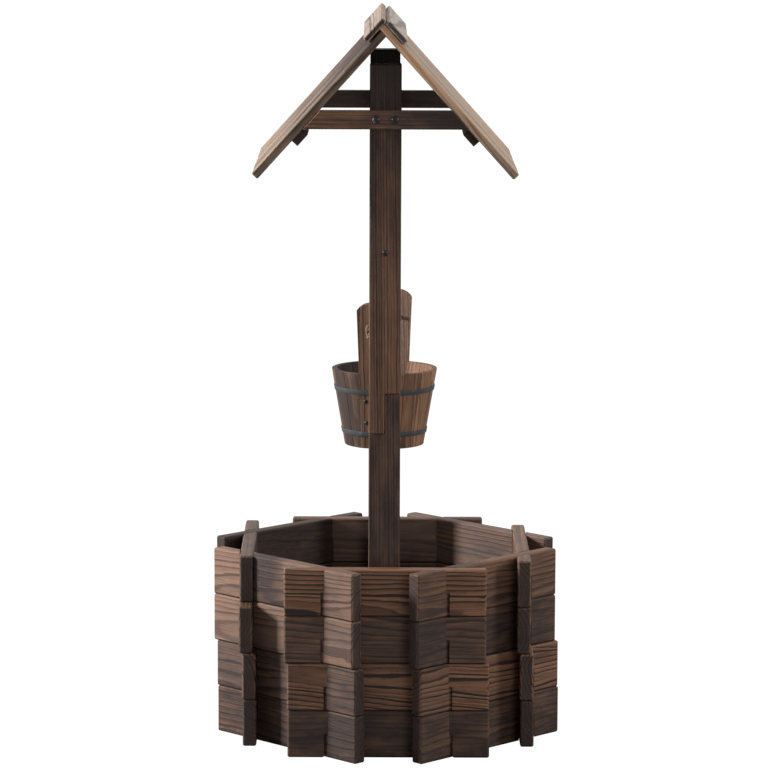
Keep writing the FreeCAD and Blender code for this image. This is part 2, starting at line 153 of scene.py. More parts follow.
@dataclass(frozen=True)
class Term:
    """A number that runs through a node tree, for use in plain Python expressions."""

    sheet: "Sheet"
    socket: bpy.types.NodeSocket

    def maths(self, operation: str, *values: "Term | float") -> "Term":
        """Add a Math node.

        Args:
            operation: The node's operation.
            values: Its inputs in order.

        Returns:
            The node's result.
        """
        node = self.sheet.add("ShaderNodeMath", {"operation": operation}, dict(enumerate(values)))
        return Term(self.sheet, node.outputs[0])

    def __add__(self, other: "Term | float") -> "Term":
        """This plus another."""
        return self.maths("ADD", self, other)

    def __radd__(self, other: float) -> "Term":
        """A number plus this."""
        return self.maths("ADD", other, self)

    def __sub__(self, other: "Term | float") -> "Term":
        """This minus another."""
        return self.maths("SUBTRACT", self, other)

    def __rsub__(self, other: float) -> "Term":
        """A number minus this."""
        return self.maths("SUBTRACT", other, self)

    def __mul__(self, other: "Term | float") -> "Term":
        """This times another."""
        return self.maths("MULTIPLY", self, other)

    def __rmul__(self, other: float) -> "Term":
        """A number times this."""
        return self.maths("MULTIPLY", other, self)

    def __truediv__(self, other: "Term | float") -> "Term":
        """This divided by another."""
        return self.maths("DIVIDE", self, other)

    def __pow__(self, other: "Term | float") -> "Term":
        """This raised to a power."""
        return self.maths("POWER", self, other)

    def fract(self) -> "Term":
        """The part after the point."""
        return self.maths("FRACT", self)

    def clamped(self) -> "Term":
        """This held between zero and one."""
        return self.maths("MAXIMUM", self.maths("MINIMUM", self, 1.0), 0.0)

    def smooth(self, low: float, high: float) -> "Term":
        """An eased step between two values.

        Args:
            low: Where the step starts.
            high: Where it has reached one.

        Returns:
            Zero below low, one above high, eased between them.
        """
        node = self.sheet.add("ShaderNodeMapRange", {"interpolation_type": "SMOOTHSTEP"},
                              {"Value": self, "From Min": low, "From Max": high})
        return Term(self.sheet, node.outputs[0])


class Sheet:
    """A node tree that is written as expressions."""

    def __init__(self, tree: bpy.types.NodeTree) -> None:
        """Work on a node tree.

        Args:
            tree: The tree that takes the nodes.
        """
        self.tree = tree

    def feed(self, socket: bpy.types.NodeSocket, value: object) -> None:
        """Fill an input.

        Args:
            socket: The input.
            value: A term, a link or a plain value.
        """
        if isinstance(value, Term):
            value = value.socket
        if isinstance(value, bpy.types.NodeSocket):
            self.tree.links.new(value, socket)
        else:
            socket.default_value = value

    def add(self, kind: str, settings: dict | None = None, values: dict | None = None) -> bpy.types.Node:
        """Add a node.

        Args:
            kind: The node's type.
            settings: Its properties, set before its sockets.
            values: Its inputs by name or number: terms, links or plain values.

        Returns:
            The new node.
        """
        node = self.tree.nodes.new(kind)
        for key, value in (settings or {}).items():
            setattr(node, key, value)
        for key, value in (values or {}).items():
            self.feed(node.inputs[key], value)
        return node

    def term(self, socket: bpy.types.NodeSocket) -> Term:
        """A socket as a term."""
        return Term(self, socket)

    def split(self, vector: bpy.types.NodeSocket) -> tuple[Term, Term, Term]:
        """The three numbers of a vector."""
        node = self.add("ShaderNodeSeparateXYZ", values={0: vector})
        return tuple(self.term(socket) for socket in node.outputs)

    def vector(self, x: Term | float, y: Term | float, z: Term | float) -> bpy.types.NodeSocket:
        """Three numbers as one vector."""
        return self.add("ShaderNodeCombineXYZ", values={0: x, 1: y, 2: z}).outputs[0]


@dataclass(frozen=True)
class Fineness:
    """How fine a noise is: its cells per metre along and across the grain, and its finer layers."""

    along: float
    across: float
    detail: float = 2.0
    rough: float = 0.5
    shift: float = 0.0


class FinishSheet(Sheet):
    """The node tree of a material."""

    def __init__(self, name: str) -> None:
        """Start a material with a Principled shader.

        Args:
            name: The material's name.
        """
        self.material = bpy.data.materials.new(name)
        self.material.use_nodes = True
        super().__init__(self.material.node_tree)
        self.shader = self.tree.nodes["Principled BSDF"]

    def attribute(self, name: str) -> bpy.types.NodeSocket:
        """The vector attribute of a mesh."""
        return self.add("ShaderNodeAttribute", {"attribute_name": name}).outputs["Vector"]

    def noise(self, place: bpy.types.NodeSocket, detail: float = 2.0, rough: float = 0.5,
              scale: float = 1.0) -> Term:
        """Soft noise.

        Args:
            place: Where it is read.
            detail: The number of finer layers.
            rough: How strong the finer layers are.
            scale: The number of cells in one unit of the place.

        Returns:
            A number near one half.
        """
        node = self.add("ShaderNodeTexNoise", None,
                        {"Vector": place, "Scale": scale, "Detail": detail, "Roughness": rough})
        return self.term(node.outputs["Fac"])

    def log_noise(self, log: tuple[Term, Term, Term], fineness: Fineness) -> Term:
        """Soft noise that is drawn out along the grain.

        Args:
            log: The place in the log.
            fineness: How fine it is.

        Returns:
            A number near one half.
        """
        x, y, z = log
        place = self.vector(x * fineness.along + fineness.shift, y * fineness.across, z * fineness.across)
        return self.noise(place, fineness.detail, fineness.rough)

    def chance(self, number: Term) -> Term:
        """A fixed random number for each whole number."""
        node = self.add("ShaderNodeTexWhiteNoise", {"noise_dimensions": "1D"}, {"W": number})
        return self.term(node.outputs["Value"])

    def blend(self, share: Term | float, first: object, second: object,
              kind: Blend = Blend.MIX) -> bpy.types.NodeSocket:
        """Mix two colours.

        Args:
            share: The share of the second one.
            first: A colour or a link.
            second: A colour or a link.
            kind: The way they are mixed.

        Returns:
            The mixed colour.
        """
        colours = [(*value, 1.0) if isinstance(value, tuple) else value for value in (first, second)]
        node = self.add("ShaderNodeMix", {"data_type": "RGBA", "blend_type": kind.value},
                        {0: share, 6: colours[0], 7: colours[1]})
        return node.outputs[2]

    def finish(self, colour: object, roughness: Term | float, height: Term | None = None,
               depth: float = 0.0, strength: float = 1.0, **plain: float) -> bpy.types.Material:
        """Join the shader up.

        Args:
            colour: The base colour.
            roughness: The roughness.
            height: The height of the relief, from zero to one.
            depth: How deep the relief is in metres.
            strength: How strong the relief is.
            plain: Other inputs of the shader, the same all over.

        Returns:
            The finished material.
        """
        inputs = self.shader.inputs
        self.feed(inputs["Base Color"], (*colour, 1.0) if isinstance(colour, tuple) else colour)
        self.feed(inputs["Roughness"], roughness)
        if height is not None:
            bump = self.add("ShaderNodeBump", None, {"Strength": strength, "Distance": depth, "Height": height})
            self.feed(inputs["Normal"], bump.outputs[0])
        for key, value in plain.items():
            self.feed(inputs[key.replace("_", " ")], value)
        return self.material


# Finishes


# The rings sway along the timber and ripple finely. The flame leaves broad blotches and smaller clouds.
SWAY = Fineness(3.2, 12)
RIPPLE = Fineness(22, 150, 3)
BLOTCH = Fineness(6, 24, 3, 0.6)
CLOUD = Fineness(16, 40, 3, 0.62, 9.0)


@dataclass(frozen=True)
class ScorchedTimber:
    """Softwood with burnt and brushed growth rings. It reads the grain and tone attributes, and one of edge wear, end
    grain and painted seam shade.

    The pitch is the width of a year, and years vary by uneven. Late wood starts at late_start of a year or, by
    chance, up to late_range earlier.
    """

    name: str
    light: Colour = (0.300, 0.150, 0.082)
    amber: Colour = (0.150, 0.068, 0.038)
    late: Colour = (0.022, 0.013, 0.011)
    char: Colour = (0.058, 0.036, 0.031)
    grey: Colour = (0.200, 0.160, 0.142)
    fresh: Colour = (0.78, 0.47, 0.29)
    dust: Colour = (0.4, 0.36, 0.34)
    pitch: float = 0.0062
    sway: float = 0.016
    ripple: float = 0.0022
    uneven: float = 2.2
    late_start: float = 0.83
    late_range: float = 0.45
    fine: float = 700.0
    relief: float = 0.0010
    gloss: float = 0.3
    stretch: float = 1.0
    sealed: float = 0.85

    def growth(self, sheet: FinishSheet, log: tuple[Term, Term, Term]) -> tuple[Term, Term, Term]:
        """Draw the growth rings round the heart of the log.

        Args:
            sheet: The material's nodes.
            log: The place in the log.

        Returns:
            The part of its year in which a point grew, its share of dark late wood, and a random number of that year.
        """
        _, y, z = log
        sway = sheet.log_noise(log, SWAY) - 0.5
        ripple = sheet.log_noise(log, RIPPLE) - 0.5
        radius = (y * y + z * z) ** 0.5 + sway * self.sway + ripple * self.ripple
        spread = sheet.noise(sheet.vector(radius * 42, 0.5, 0.5), 1) - 0.5
        year = radius / self.pitch + spread * self.uneven
        part = year.fract()
        luck = sheet.chance(year - part)
        other = sheet.chance(year - part + 0.37)
        start = self.late_start - luck * luck * self.late_range
        late = (part - start).smooth(-0.04, 0.12) * (1 - part.smooth(0.94, 1.0)) * (0.55 + 0.45 * luck)
        return part, late, other

    def build(self) -> bpy.types.Material:
        """Write the material's nodes."""
        sheet = FinishSheet(self.name)
        log = sheet.split(sheet.attribute("grain"))
        char, grey, rings = sheet.split(sheet.attribute("tone"))
        edge, end, painted_seam_shade = sheet.split(sheet.attribute("wear_and_shade"))
        part, late, luck = self.growth(sheet, log)
        blotch = sheet.log_noise(log, BLOTCH)
        cloud = sheet.log_noise(log, CLOUD)
        streak = sheet.log_noise(log, Fineness(9 * self.stretch, self.fine, 2, 0.6))
        fibre = sheet.log_noise(log, Fineness(60 * self.stretch, self.fine * 2.2))
        burnt = (char * 1.1 + (cloud - 0.5) * 1.3 * (char + 0.25) + (blotch - 0.5) * 0.5).clamped()
        blackest = (char - 0.9) * 2.2 * (char - 0.9).smooth(0.0, 0.02)
        layers = (
            # amber wood, in fine sooty streaks, silvered by the weather, or left bare by the flame
            (part.smooth(0.05, 0.7) * 0.55 + luck * 0.5 + (blotch - 0.5) * 1.3, self.amber),
            (streak.smooth(0.5, 0.66) * 0.55, self.char),
            (grey * (cloud.smooth(0.3, 0.62) * 0.6 + 0.4), self.grey),
            (char * -0.9, self.fresh),
            # burnt wood and the black late wood of each ring
            (burnt * 0.94, sheet.blend(streak.smooth(0.35, 0.7), self.char, self.late)),
            (late * rings + blackest, self.late),
            # sealed ends, worn edges, and painted shade in the seams under each board
            (end * self.sealed, sheet.blend((late * 0.6 + 0.4).clamped(), self.char, self.late)),
            (edge * blotch.smooth(0.36, 0.6) * (1 - char * 0.8) * 0.42, self.light),
            (painted_seam_shade * 0.8, self.late),
        )
        wood: object = self.light
        for share, colour in layers:
            wood = sheet.blend(share.clamped(), wood, colour)
        shade = sheet.blend((fibre.smooth(0.2, 0.65) * 0.4 + 0.6).clamped(), self.dust, WHITE)
        wood = sheet.blend(1.0, wood, shade, Blend.MULTIPLY)
        height = late * 0.5 * rings + (1 - streak) * 0.35 + fibre * 0.15
        roughness = (0.66 + (cloud - 0.5) * 0.3 - late * 0.1).clamped()
        return sheet.finish(wood, roughness, height, self.relief, 0.8, Specular_IOR_Level=self.gloss)


@dataclass(frozen=True)
class DarkSteel:
    """Dark coated steel with worn patches and fine specks."""

    name: str
    colour: Colour = (0.03, 0.028, 0.027)
    worn: Colour = (0.14, 0.135, 0.13)
    shine: float = 0.38
    specks: float = 900.0
    patches: float = 90.0
    relief: float = 0.0001
    metal: float = 0.55

    def build(self) -> bpy.types.Material:
        """Write the material's nodes."""
        sheet = FinishSheet(self.name)
        place = sheet.add("ShaderNodeTexCoord").outputs["Object"]
        speck = sheet.noise(place, 3, 0.6, self.specks)
        patch = sheet.noise(place, scale=self.patches)
        colour = sheet.blend((patch.smooth(0.5, 0.75) * 0.6).clamped(), self.colour, self.worn)
        roughness = (self.shine + (speck - 0.5) * 0.3).clamped()
        return sheet.finish(colour, roughness, speck, self.relief, 0.5, Metallic=self.metal)


@dataclass(frozen=True)
class TwistedFibre:
    """Natural fibre rope. Its fibres run along the strands."""

    name: str
    light: Colour = (0.32, 0.23, 0.145)
    dark: Colour = (0.13, 0.08, 0.05)
    relief: float = 0.0004

    def build(self) -> bpy.types.Material:
        """Write the material's nodes."""
        sheet = FinishSheet(self.name)
        along, turn, strand = sheet.split(sheet.attribute("grain"))
        fibre = sheet.noise(sheet.vector(along * 160, turn * 26, strand * 5.3), 3, 0.65)
        patch = sheet.noise(sheet.vector(along * 60, turn, strand * 3.1))
        colour = sheet.blend((fibre.smooth(0.3, 0.66) * 0.8 + patch * 0.2).clamped(), self.dark, self.light)
        return sheet.finish(colour, (0.85 + (fibre - 0.5) * 0.2).clamped(), fibre, self.relief, 0.8)


@dataclass(frozen=True)
class StudioFloor:
    """The studio floor: full white for the camera, a soft grey that sends back little light for the object."""

    name: str = "studio_white"
    colour: Colour = (0.30, 0.30, 0.30)
    roughness: float = 0.9

    def build(self) -> bpy.types.Material:
        """Write the material's nodes."""
        sheet = FinishSheet(self.name)
        material = sheet.finish(self.colour, self.roughness)
        white = sheet.add("ShaderNodeEmission", None, {"Color": (*WHITE, 1.0), "Strength": SEEN_WHITE})
        seen = sheet.add("ShaderNodeLightPath").outputs["Is Camera Ray"]
        mix = sheet.add("ShaderNodeMixShader", None, {0: seen, 1: sheet.shader.outputs[0], 2: white.outputs[0]})
        sheet.feed(sheet.tree.nodes["Material Output"].inputs[0], mix.outputs[0])
        return material


class Finishes:
    """The materials, one for each slot of the record."""

    def __init__(self) -> None:
        """Build all of them."""
        finishes = {
            Slot.BED: ScorchedTimber("scorched_bed_board", sway=0.026),
            Slot.POST: ScorchedTimber("scorched_post", pitch=0.0046, sway=0.006),
            Slot.BRACE: ScorchedTimber("scorched_brace", pitch=0.0055, sway=0.01),
            Slot.SLAT: ScorchedTimber(
                "scorched_roof_slat", light=(0.50, 0.36, 0.26), amber=(0.28, 0.19, 0.13), grey=(0.52, 0.43, 0.35),
                pitch=0.006, sway=0.012, relief=0.0003, gloss=0.08, stretch=0.15),
            Slot.CAP: ScorchedTimber(
                "scorched_ridge_cap", light=(0.43, 0.285, 0.20), amber=(0.27, 0.17, 0.12), grey=(0.48, 0.44, 0.40),
                pitch=0.006, sway=0.012, relief=0.0005, gloss=0.15, stretch=0.4),
            Slot.BAR: ScorchedTimber("scorched_bar", pitch=0.005, sway=0.006),
            Slot.BUCKET: ScorchedTimber(
                "scorched_bucket_stave", light=(0.36, 0.188, 0.097), amber=(0.19, 0.09, 0.048),
                pitch=0.0036, sway=0.006, sealed=0.3),
            Slot.SCREW: DarkSteel("dark_screw"),
            Slot.HOOP: DarkSteel("strap_steel", (0.075, 0.080, 0.085), (0.140, 0.145, 0.150), 0.62),
            Slot.ROPE: TwistedFibre("twisted_fibre"),
        }
        self.by_slot = {slot: finish.build() for slot, finish in finishes.items()}

    def dress(self, piece: bpy.types.Object, slot: Slot, body: Body, *nodes: str) -> None:
        """Give a piece its finish, fix it to its body and let it stand for its nodes.

        Args:
            piece: The piece.
            slot: The record's slot.
            body: The body that it moves with.
            nodes: The CAD nodes that it stands for.
        """
        piece.data.materials.clear()
        piece.data.materials.append(self.by_slot[slot])
        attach(piece, body.value)
        if nodes:
            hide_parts(*nodes)
        LOG.info("%s: %d faces on %s", piece.name, len(piece.data.polygons), body.value)


# Timber


@dataclass(frozen=True)
class Tone:
    """How a timber took the flame: how burnt, how grey and how clearly ringed it is.

    A char below nothing means wood left bare. It grows by fade along the timber and by ends towards both ends.
    """

    char: float
    grey: float
    rings: float
    fade: float = 0.0
    ends: float = 0.0

    def at(self, reach: float = 0.0, more: float = 0.0) -> tuple[float, float, float]:
        """How burnt, how grey and how clearly ringed the timber is.

        Args:
            reach: The distance from its origin.
            more: How much darker it is painted there than the rest, as a painted shadow.

        Returns:
            The tone as the material reads it.
        """
        return self.char + self.fade * reach + self.ends * reach * reach + more, self.grey, self.rings


@dataclass(frozen=True)
class PaintedShadow:
    """A stretch of a board painted darker than the rest: a painted shadow, where a column shades the board beside it.
    """

    middle: float
    half: float
    more: float

    def painted_shadow_at(self, reach: float) -> float:
        """How much darker the board is painted, as a painted shadow, at a distance from its middle."""
        return self.more * max(0.0, min(1.0, 2 - 2 * abs(reach - self.middle) / self.half))


# How far apart the logs of the timbers lie in the pattern, and after how many of them it starts again.
LOG_STEP = 0.731
LOGS = 97

# How squarely a face looks along the timber to count as its end, and a rounding to count as that of an end.
END_FACING = 0.8
END_EDGE_FACING = 0.3

# How far down a rounding faces to take painted shade, the shade in the seam under a board.
UNDER_FACING = -0.2

# The wear where a rounding meets a flat face, and the share of it that the rounding of an end takes.
SIDE_WEAR = 0.3
END_EDGE_WEAR = 0.15


@dataclass(frozen=True)
class Grain:
    """Where a timber lies in its log, and how it took the flame.

    The pith is the place of the timber's origin in the log's section, and lean is how far it runs out of the log.
    """

    origin: Vector
    along: Vector
    across: Vector
    pith: tuple[float, float]
    lean: tuple[float, float]
    tone: Tone
    seed: int
    # Whether roundings that face down take painted shade, the shade in the seams between courses.
    seam_shaded: bool = False
    patch: PaintedShadow | None = None

    def frame(self) -> Matrix:
        """The timber's own axes as the rows of a matrix."""
        along = self.along.normalized()
        out = along.cross(self.across).normalized()
        return Matrix((along, out.cross(along), out))

    def place(self, point: Vector) -> Point:
        """A point's place in the log. The seed moves each timber to wood of its own.

        Args:
            point: The point in metres.

        Returns:
            Its place along the log and in the log's section.
        """
        local = self.frame() @ (point - self.origin)
        return (local.x + LOG_STEP * (self.seed % LOGS), local.y + self.pith[0] + local.x * self.lean[0],
                local.z + self.pith[1] + local.x * self.lean[1])

    def tone_at(self, point: Vector) -> tuple[float, float, float]:
        """The timber's tone at a point."""
        reach = (point - self.origin).dot(self.along.normalized())
        return self.tone.at(reach, self.patch.painted_shadow_at(reach) if self.patch else 0.0)

    def is_end(self, normal: Vector) -> bool:
        """Whether a face lies across the end of the timber."""
        return abs(normal.dot(self.along.normalized())) > END_FACING

    def edge_wear_and_shade(self, facing: Vector, beside_flat: bool) -> tuple[float, float, float]:
        """How worn a rounded edge is. One that faces down into a seam takes painted shade instead.

        Args:
            facing: The direction that it faces.
            beside_flat: Whether the point lies where the rounding meets a flat face.

        Returns:
            The wear, no end grain, and the painted seam shade.
        """
        if self.seam_shaded and facing.z < UNDER_FACING:
            return 0.0, 0.0, 1.0
        worn = SIDE_WEAR if beside_flat else 1.0
        if abs(facing.dot(self.along.normalized())) > END_EDGE_FACING:
            worn *= END_EDGE_WEAR
        return worn, 0.0, 0.0


def write_vectors(mesh: bpy.types.Mesh, name: str, domain: Domain, values: Iterable[Sequence[float]]) -> None:
    """Store a vector attribute.

    Args:
        mesh: The mesh.
        name: The attribute's name.
        domain: The elements that carry it.
        values: One vector for each element.
    """
    layer = mesh.attributes.new(name, "FLOAT_VECTOR", domain.value)
    layer.data.foreach_set("vector", [number for value in values for number in value])


def is_flat(mesh: bpy.types.Mesh, face: bpy.types.MeshPolygon, flat_width: float) -> bool:
    """Tell flat faces from rounding.

    Args:
        mesh: The mesh.
        face: One of its faces.
        flat_width: Faces narrower than this count as rounding.

    Returns:
        Whether the face is flat.
    """
    corners = [mesh.vertices[index].co for index in face.vertices]
    longest = max((a - b).length for a, b in zip(corners, corners[1:] + corners[:1]))
    return face.area / max(longest, 1e-9) > flat_width


def grained(mesh: bpy.types.Mesh, choose: Grain | Callable[[Vector], Grain], flat_width: float = 4 * MM) -> None:
    """Give a timber mesh its grain and tone attributes, one of edge wear, end grain and painted seam shade, and its
    shading.

    Args:
        mesh: The mesh, its edges already rounded.
        choose: The grain, or what gives it for a face's middle.
        flat_width: Faces narrower than this count as rounding.
    """
    pick = choose if callable(choose) else lambda middle: choose
    flat = [is_flat(mesh, face, flat_width) for face in mesh.polygons]
    beside: dict[int, list[Vector]] = {}
    rounding: dict[int, Vector] = {}
    for face in mesh.polygons:
        for index in face.vertices:
            if flat[face.index]:
                beside.setdefault(index, []).append(face.normal.copy())
            else:
                rounding[index] = rounding.get(index, Vector()) + face.normal * face.area
    grain = [(0.0, 0.0, 0.0)] * len(mesh.vertices)
    tone = list(grain)
    normals = []
    wear_and_shade = []
    for face in mesh.polygons:
        piece = pick(face.center)
        end = 1.0 if flat[face.index] and piece.is_end(face.normal) else 0.0
        for index in face.vertices:
            grain[index] = piece.place(mesh.vertices[index].co)
            tone[index] = piece.tone_at(mesh.vertices[index].co)
            if flat[face.index]:
                normals.append(face.normal.copy())
                wear_and_shade.append((0.0, end, 0.0))
            else:
                near = beside.get(index, [])
                facing = rounding[index].normalized()
                normals.append(near[0] if len(near) == 1 else facing)
                wear_and_shade.append(piece.edge_wear_and_shade(facing, bool(near)))
    write_vectors(mesh, "grain", Domain.POINT, grain)
    write_vectors(mesh, "tone", Domain.POINT, tone)
    write_vectors(mesh, "wear_and_shade", Domain.CORNER, wear_and_shade)
    mesh.shade_smooth()
    mesh.normals_split_custom_set(normals)


# Meshes


@dataclass(frozen=True)
class Rounding:
    """How the sharp edges of a piece are rounded. Edges shorter than the shortest stay as they are."""

    width: float
    segments: int = 2
    shortest: float = 2 * MM
    sharp: float = math.radians(25)

    def apply(self, shape: bmesh.types.BMesh) -> None:
        """Round the sharp edges of a shape.

        Args:
            shape: The shape.
        """
        edges = [edge for edge in shape.edges if len(edge.link_faces) == 2
                 and edge.calc_face_angle(0.0) > self.sharp and edge.calc_length() > self.shortest]
        bmesh.ops.bevel(shape, geom=edges, offset=self.width, segments=self.segments, profile=0.5, affect="EDGES")


def written(shape: bmesh.types.BMesh, name: str) -> bpy.types.Mesh:
    """Write a shape to a new mesh and free it.

    Args:
        shape: The shape.
        name: The mesh's name.

    Returns:
        The new mesh.
    """
    mesh = bpy.data.meshes.new(name)
    shape.to_mesh(mesh)
    shape.free()
    return mesh


def softened(frame: dict, node: str, rounding: Rounding) -> bpy.types.Mesh:
    """A copy of a CAD node with merged faces and rounded edges.

    Args:
        frame: The loaded frame.
        node: The node to copy.
        rounding: How its edges are rounded.

    Returns:
        The new mesh.
    """
    shape = bmesh.new()
    shape.from_mesh(frame["nodes"][node].data)
    bmesh.ops.remove_doubles(shape, verts=shape.verts, dist=1e-5)
    bmesh.ops.dissolve_limit(shape, angle_limit=math.radians(0.7), verts=shape.verts, edges=shape.edges)
    rounding.apply(shape)
    return written(shape, node)


def circle(radius: float, rounds: int) -> list[tuple[float, float]]:
    """The points of a circle round the origin.

    Args:
        radius: Its radius.
        rounds: The number of points.

    Returns:
        Both coordinates of each point.
    """
    return [(radius * math.cos(math.tau * turn / rounds), radius * math.sin(math.tau * turn / rounds))
            for turn in range(rounds)]


def skinned(name: str, *solids: Sequence[Sequence[Sequence[float]]], around: bool = False,
            rounding: Rounding | None = None) -> bpy.types.Mesh:
    """A mesh of closed solids, each with a skin over rings of points.

    Args:
        name: The mesh's name.
        solids: The rings of each solid. All rings of a solid have the same number of points.
        around: Whether the last ring joins the first one. Otherwise a face closes each end.
        rounding: How the sharp edges are rounded.

    Returns:
        The mesh, its faces outwards.
    """
    shape = bmesh.new()
    for solid in solids:
        rings = [[shape.verts.new(point) for point in ring] for ring in solid]
        for first, second in zip(rings, rings[1:] + (rings[:1] if around else [])):
            for index in range(len(first)):
                after = (index + 1) % len(first)
                shape.faces.new((first[index], first[after], second[after], second[index]))
        if not around:
            shape.faces.new(rings[0][::-1])
            shape.faces.new(rings[-1])
    bmesh.ops.recalc_face_normals(shape, faces=shape.faces)
    if rounding:
        rounding.apply(shape)
    return written(shape, name)


def smoothed(mesh: bpy.types.Mesh, degrees: float) -> None:
    """Shade a mesh smooth, apart from edges sharper than an angle."""
    mesh.shade_smooth()
    mesh.set_sharp_from_angle(angle=math.radians(degrees))


def linked(name: str, data: bpy.types.ID) -> bpy.types.Object:
    """A new object in the scene.

    Args:
        name: Its name.
        data: Its mesh, curve, lamp or camera.

    Returns:
        The new object.
    """
    made = bpy.data.objects.new(name, data)
    bpy.context.scene.collection.objects.link(made)
    return made


def new_piece(name: str, mesh: bpy.types.Mesh) -> bpy.types.Object:
    """A new piece in the scene. Its mesh gets the same name."""
    mesh.name = name
    return linked(name, mesh)


def plain_mesh(piece: bpy.types.Object) -> bpy.types.Mesh:
    """A copy of the mesh of a piece or a curve after its modifiers.

    Args:
        piece: The piece.

    Returns:
        The new mesh.
    """
    graph = bpy.context.evaluated_depsgraph_get()
    return bpy.data.meshes.new_from_object(piece.evaluated_get(graph), preserve_all_data_layers=True,
                                           depsgraph=graph)


# Geometry Nodes


class PatternSheet(Sheet):
    """A Geometry Nodes tree with named sizes."""

    def __init__(self, name: str, **sizes: str) -> None:
        """Start a tree that also takes a material.

        Args:
            name: The tree's name.
            sizes: The kind of each named input, with underscores for spaces.
        """
        tree = bpy.data.node_groups.new(name, "GeometryNodeTree")
        super().__init__(tree)
        tree.interface.new_socket("Geometry", in_out="INPUT", socket_type="NodeSocketGeometry")
        for label, kind in {**sizes, "Material": "Material"}.items():
            tree.interface.new_socket(label.replace("_", " "), in_out="INPUT", socket_type="NodeSocket" + kind)
        tree.interface.new_socket("Geometry", in_out="OUTPUT", socket_type="NodeSocketGeometry")
        self.given = self.add("NodeGroupInput").outputs

    def size(self, label: str) -> Term:
        """A named number input."""
        return self.term(self.given[label])

    def index(self) -> Term:
        """The number of each element."""
        return self.term(self.add("GeometryNodeInputIndex").outputs[0])

    def chance(self, low: float, high: float, seed: Seed) -> Term:
        """A fixed random number for each element.

        Args:
            low: The least value.
            high: The greatest value.
            seed: The seed.

        Returns:
            The number.
        """
        node = self.add("FunctionNodeRandomValue", {"data_type": "FLOAT"}, {2: low, 3: high, "Seed": seed.value})
        return self.term(node.outputs[1])

    def named(self, name: str) -> bpy.types.NodeSocket:
        """A vector attribute of the geometry."""
        return self.add("GeometryNodeInputNamedAttribute", {"data_type": "FLOAT_VECTOR"}, {"Name": name}).outputs[0]

    def store(self, geometry: bpy.types.NodeSocket, name: str, value: bpy.types.NodeSocket) -> bpy.types.NodeSocket:
        """Store a vector attribute on the points of the geometry.

        Args:
            geometry: The geometry.
            name: The attribute's name.
            value: The vector.

        Returns:
            The geometry with the attribute.
        """
        node = self.add("GeometryNodeStoreNamedAttribute", {"data_type": "FLOAT_VECTOR", "domain": "POINT"},
                        {"Geometry": geometry, "Name": name, "Value": value})
        return node.outputs[0]

    def increase(self, geometry: bpy.types.NodeSocket, name: str, *more: Term | float) -> bpy.types.NodeSocket:
        """Add three numbers to a vector attribute.

        Args:
            geometry: The geometry.
            name: The attribute's name.
            more: The numbers.

        Returns:
            The geometry with the new values.
        """
        return self.store(geometry, name, self.sum(self.named(name), self.vector(*more)))

    def sum(self, first: bpy.types.NodeSocket, second: bpy.types.NodeSocket) -> bpy.types.NodeSocket:
        """Two vectors added up."""
        return self.add("ShaderNodeVectorMath", {"operation": "ADD"}, {0: first, 1: second}).outputs[0]

    def scaled(self, vector: bpy.types.NodeSocket, scale: Term) -> bpy.types.NodeSocket:
        """A vector times a number."""
        return self.add("ShaderNodeVectorMath", {"operation": "SCALE"}, {0: vector, "Scale": scale}).outputs[0]

    def moved(self, geometry: bpy.types.NodeSocket, offset: bpy.types.NodeSocket) -> bpy.types.NodeSocket:
        """The geometry with each point moved by a vector."""
        return self.add("GeometryNodeSetPosition", None, {"Geometry": geometry, "Offset": offset}).outputs[0]

    def line(self, count: Term, offset: object) -> bpy.types.NodeSocket:
        """A row of points, each set off from the one before it."""
        return self.add("GeometryNodeMeshLine", {"mode": "OFFSET"}, {"Count": count, "Offset": offset}).outputs[0]

    def repeat(self, points: bpy.types.NodeSocket, turn: bpy.types.NodeSocket | None = None,
               bias: Term | float = 0.0, spread: float = 0.3, reach: float = 9.0,
               aside: tuple[float, float] = (0.02, 0.012), weather: float = 0.05) -> bpy.types.NodeSocket:
        """Repeat the given timber on points, each one of wood and tone of its own.

        Args:
            points: The points.
            turn: The rotation on each point.
            bias: How much darker some of them are.
            spread: How much the burning varies.
            reach: How far along the log they may come from.
            aside: How far across the log they may come from.
            weather: How much the silvering varies.

        Returns:
            The repeated timbers as plain geometry.
        """
        burnt = self.chance(-1.0, 1.0, Seed.BURN) * spread + bias
        lot = self.vector(self.chance(0.0, reach, Seed.LOG), burnt, self.chance(-1.0, 1.0, Seed.SIDE))
        values = {"Points": self.store(points, "lot", lot), "Instance": self.given["Geometry"]}
        if turn is not None:
            values["Rotation"] = turn
        made = self.add("GeometryNodeInstanceOnPoints", None, values).outputs[0]
        made = self.add("GeometryNodeRealizeInstances", None, {0: made}).outputs[0]
        far, burnt, side = self.split(self.named("lot"))
        made = self.increase(made, "grain", far, side * aside[0], side * aside[1])
        return self.increase(made, "tone", burnt, side * weather, 0.0)

    def close(self, geometry: bpy.types.NodeSocket) -> bpy.types.NodeTree:
        """End the tree in Realize Instances and Set Material.

        Args:
            geometry: The geometry to hand out.

        Returns:
            The finished tree.
        """
        plain = self.add("GeometryNodeRealizeInstances", None, {0: geometry}).outputs[0]
        dressed = self.add("GeometryNodeSetMaterial", None, {0: plain, "Material": self.given["Material"]})
        self.add("NodeGroupOutput", None, {0: dressed.outputs[0]})
        return self.tree


def apply_pattern(piece: bpy.types.Object, tree: bpy.types.NodeTree, name: str, **sizes: object) -> bpy.types.Object:
    """Run a Geometry Nodes tree on a piece and keep the plain result.

    Args:
        piece: The piece, which is removed.
        tree: The tree.
        name: The new piece's name.
        sizes: The named inputs, with underscores for spaces.

    Returns:
        The plain piece.
    """
    modifier = piece.modifiers.new("pattern", "NODES")
    modifier.node_group = tree
    labels = {item.name: item.identifier for item in tree.interface.items_tree
              if item.item_type == "SOCKET" and item.in_out == "INPUT"}
    for label, value in sizes.items():
        modifier[labels[label.replace("_", " ")]] = value
    mesh = plain_mesh(piece)
    bpy.data.objects.remove(piece)
    return new_piece(name, mesh)


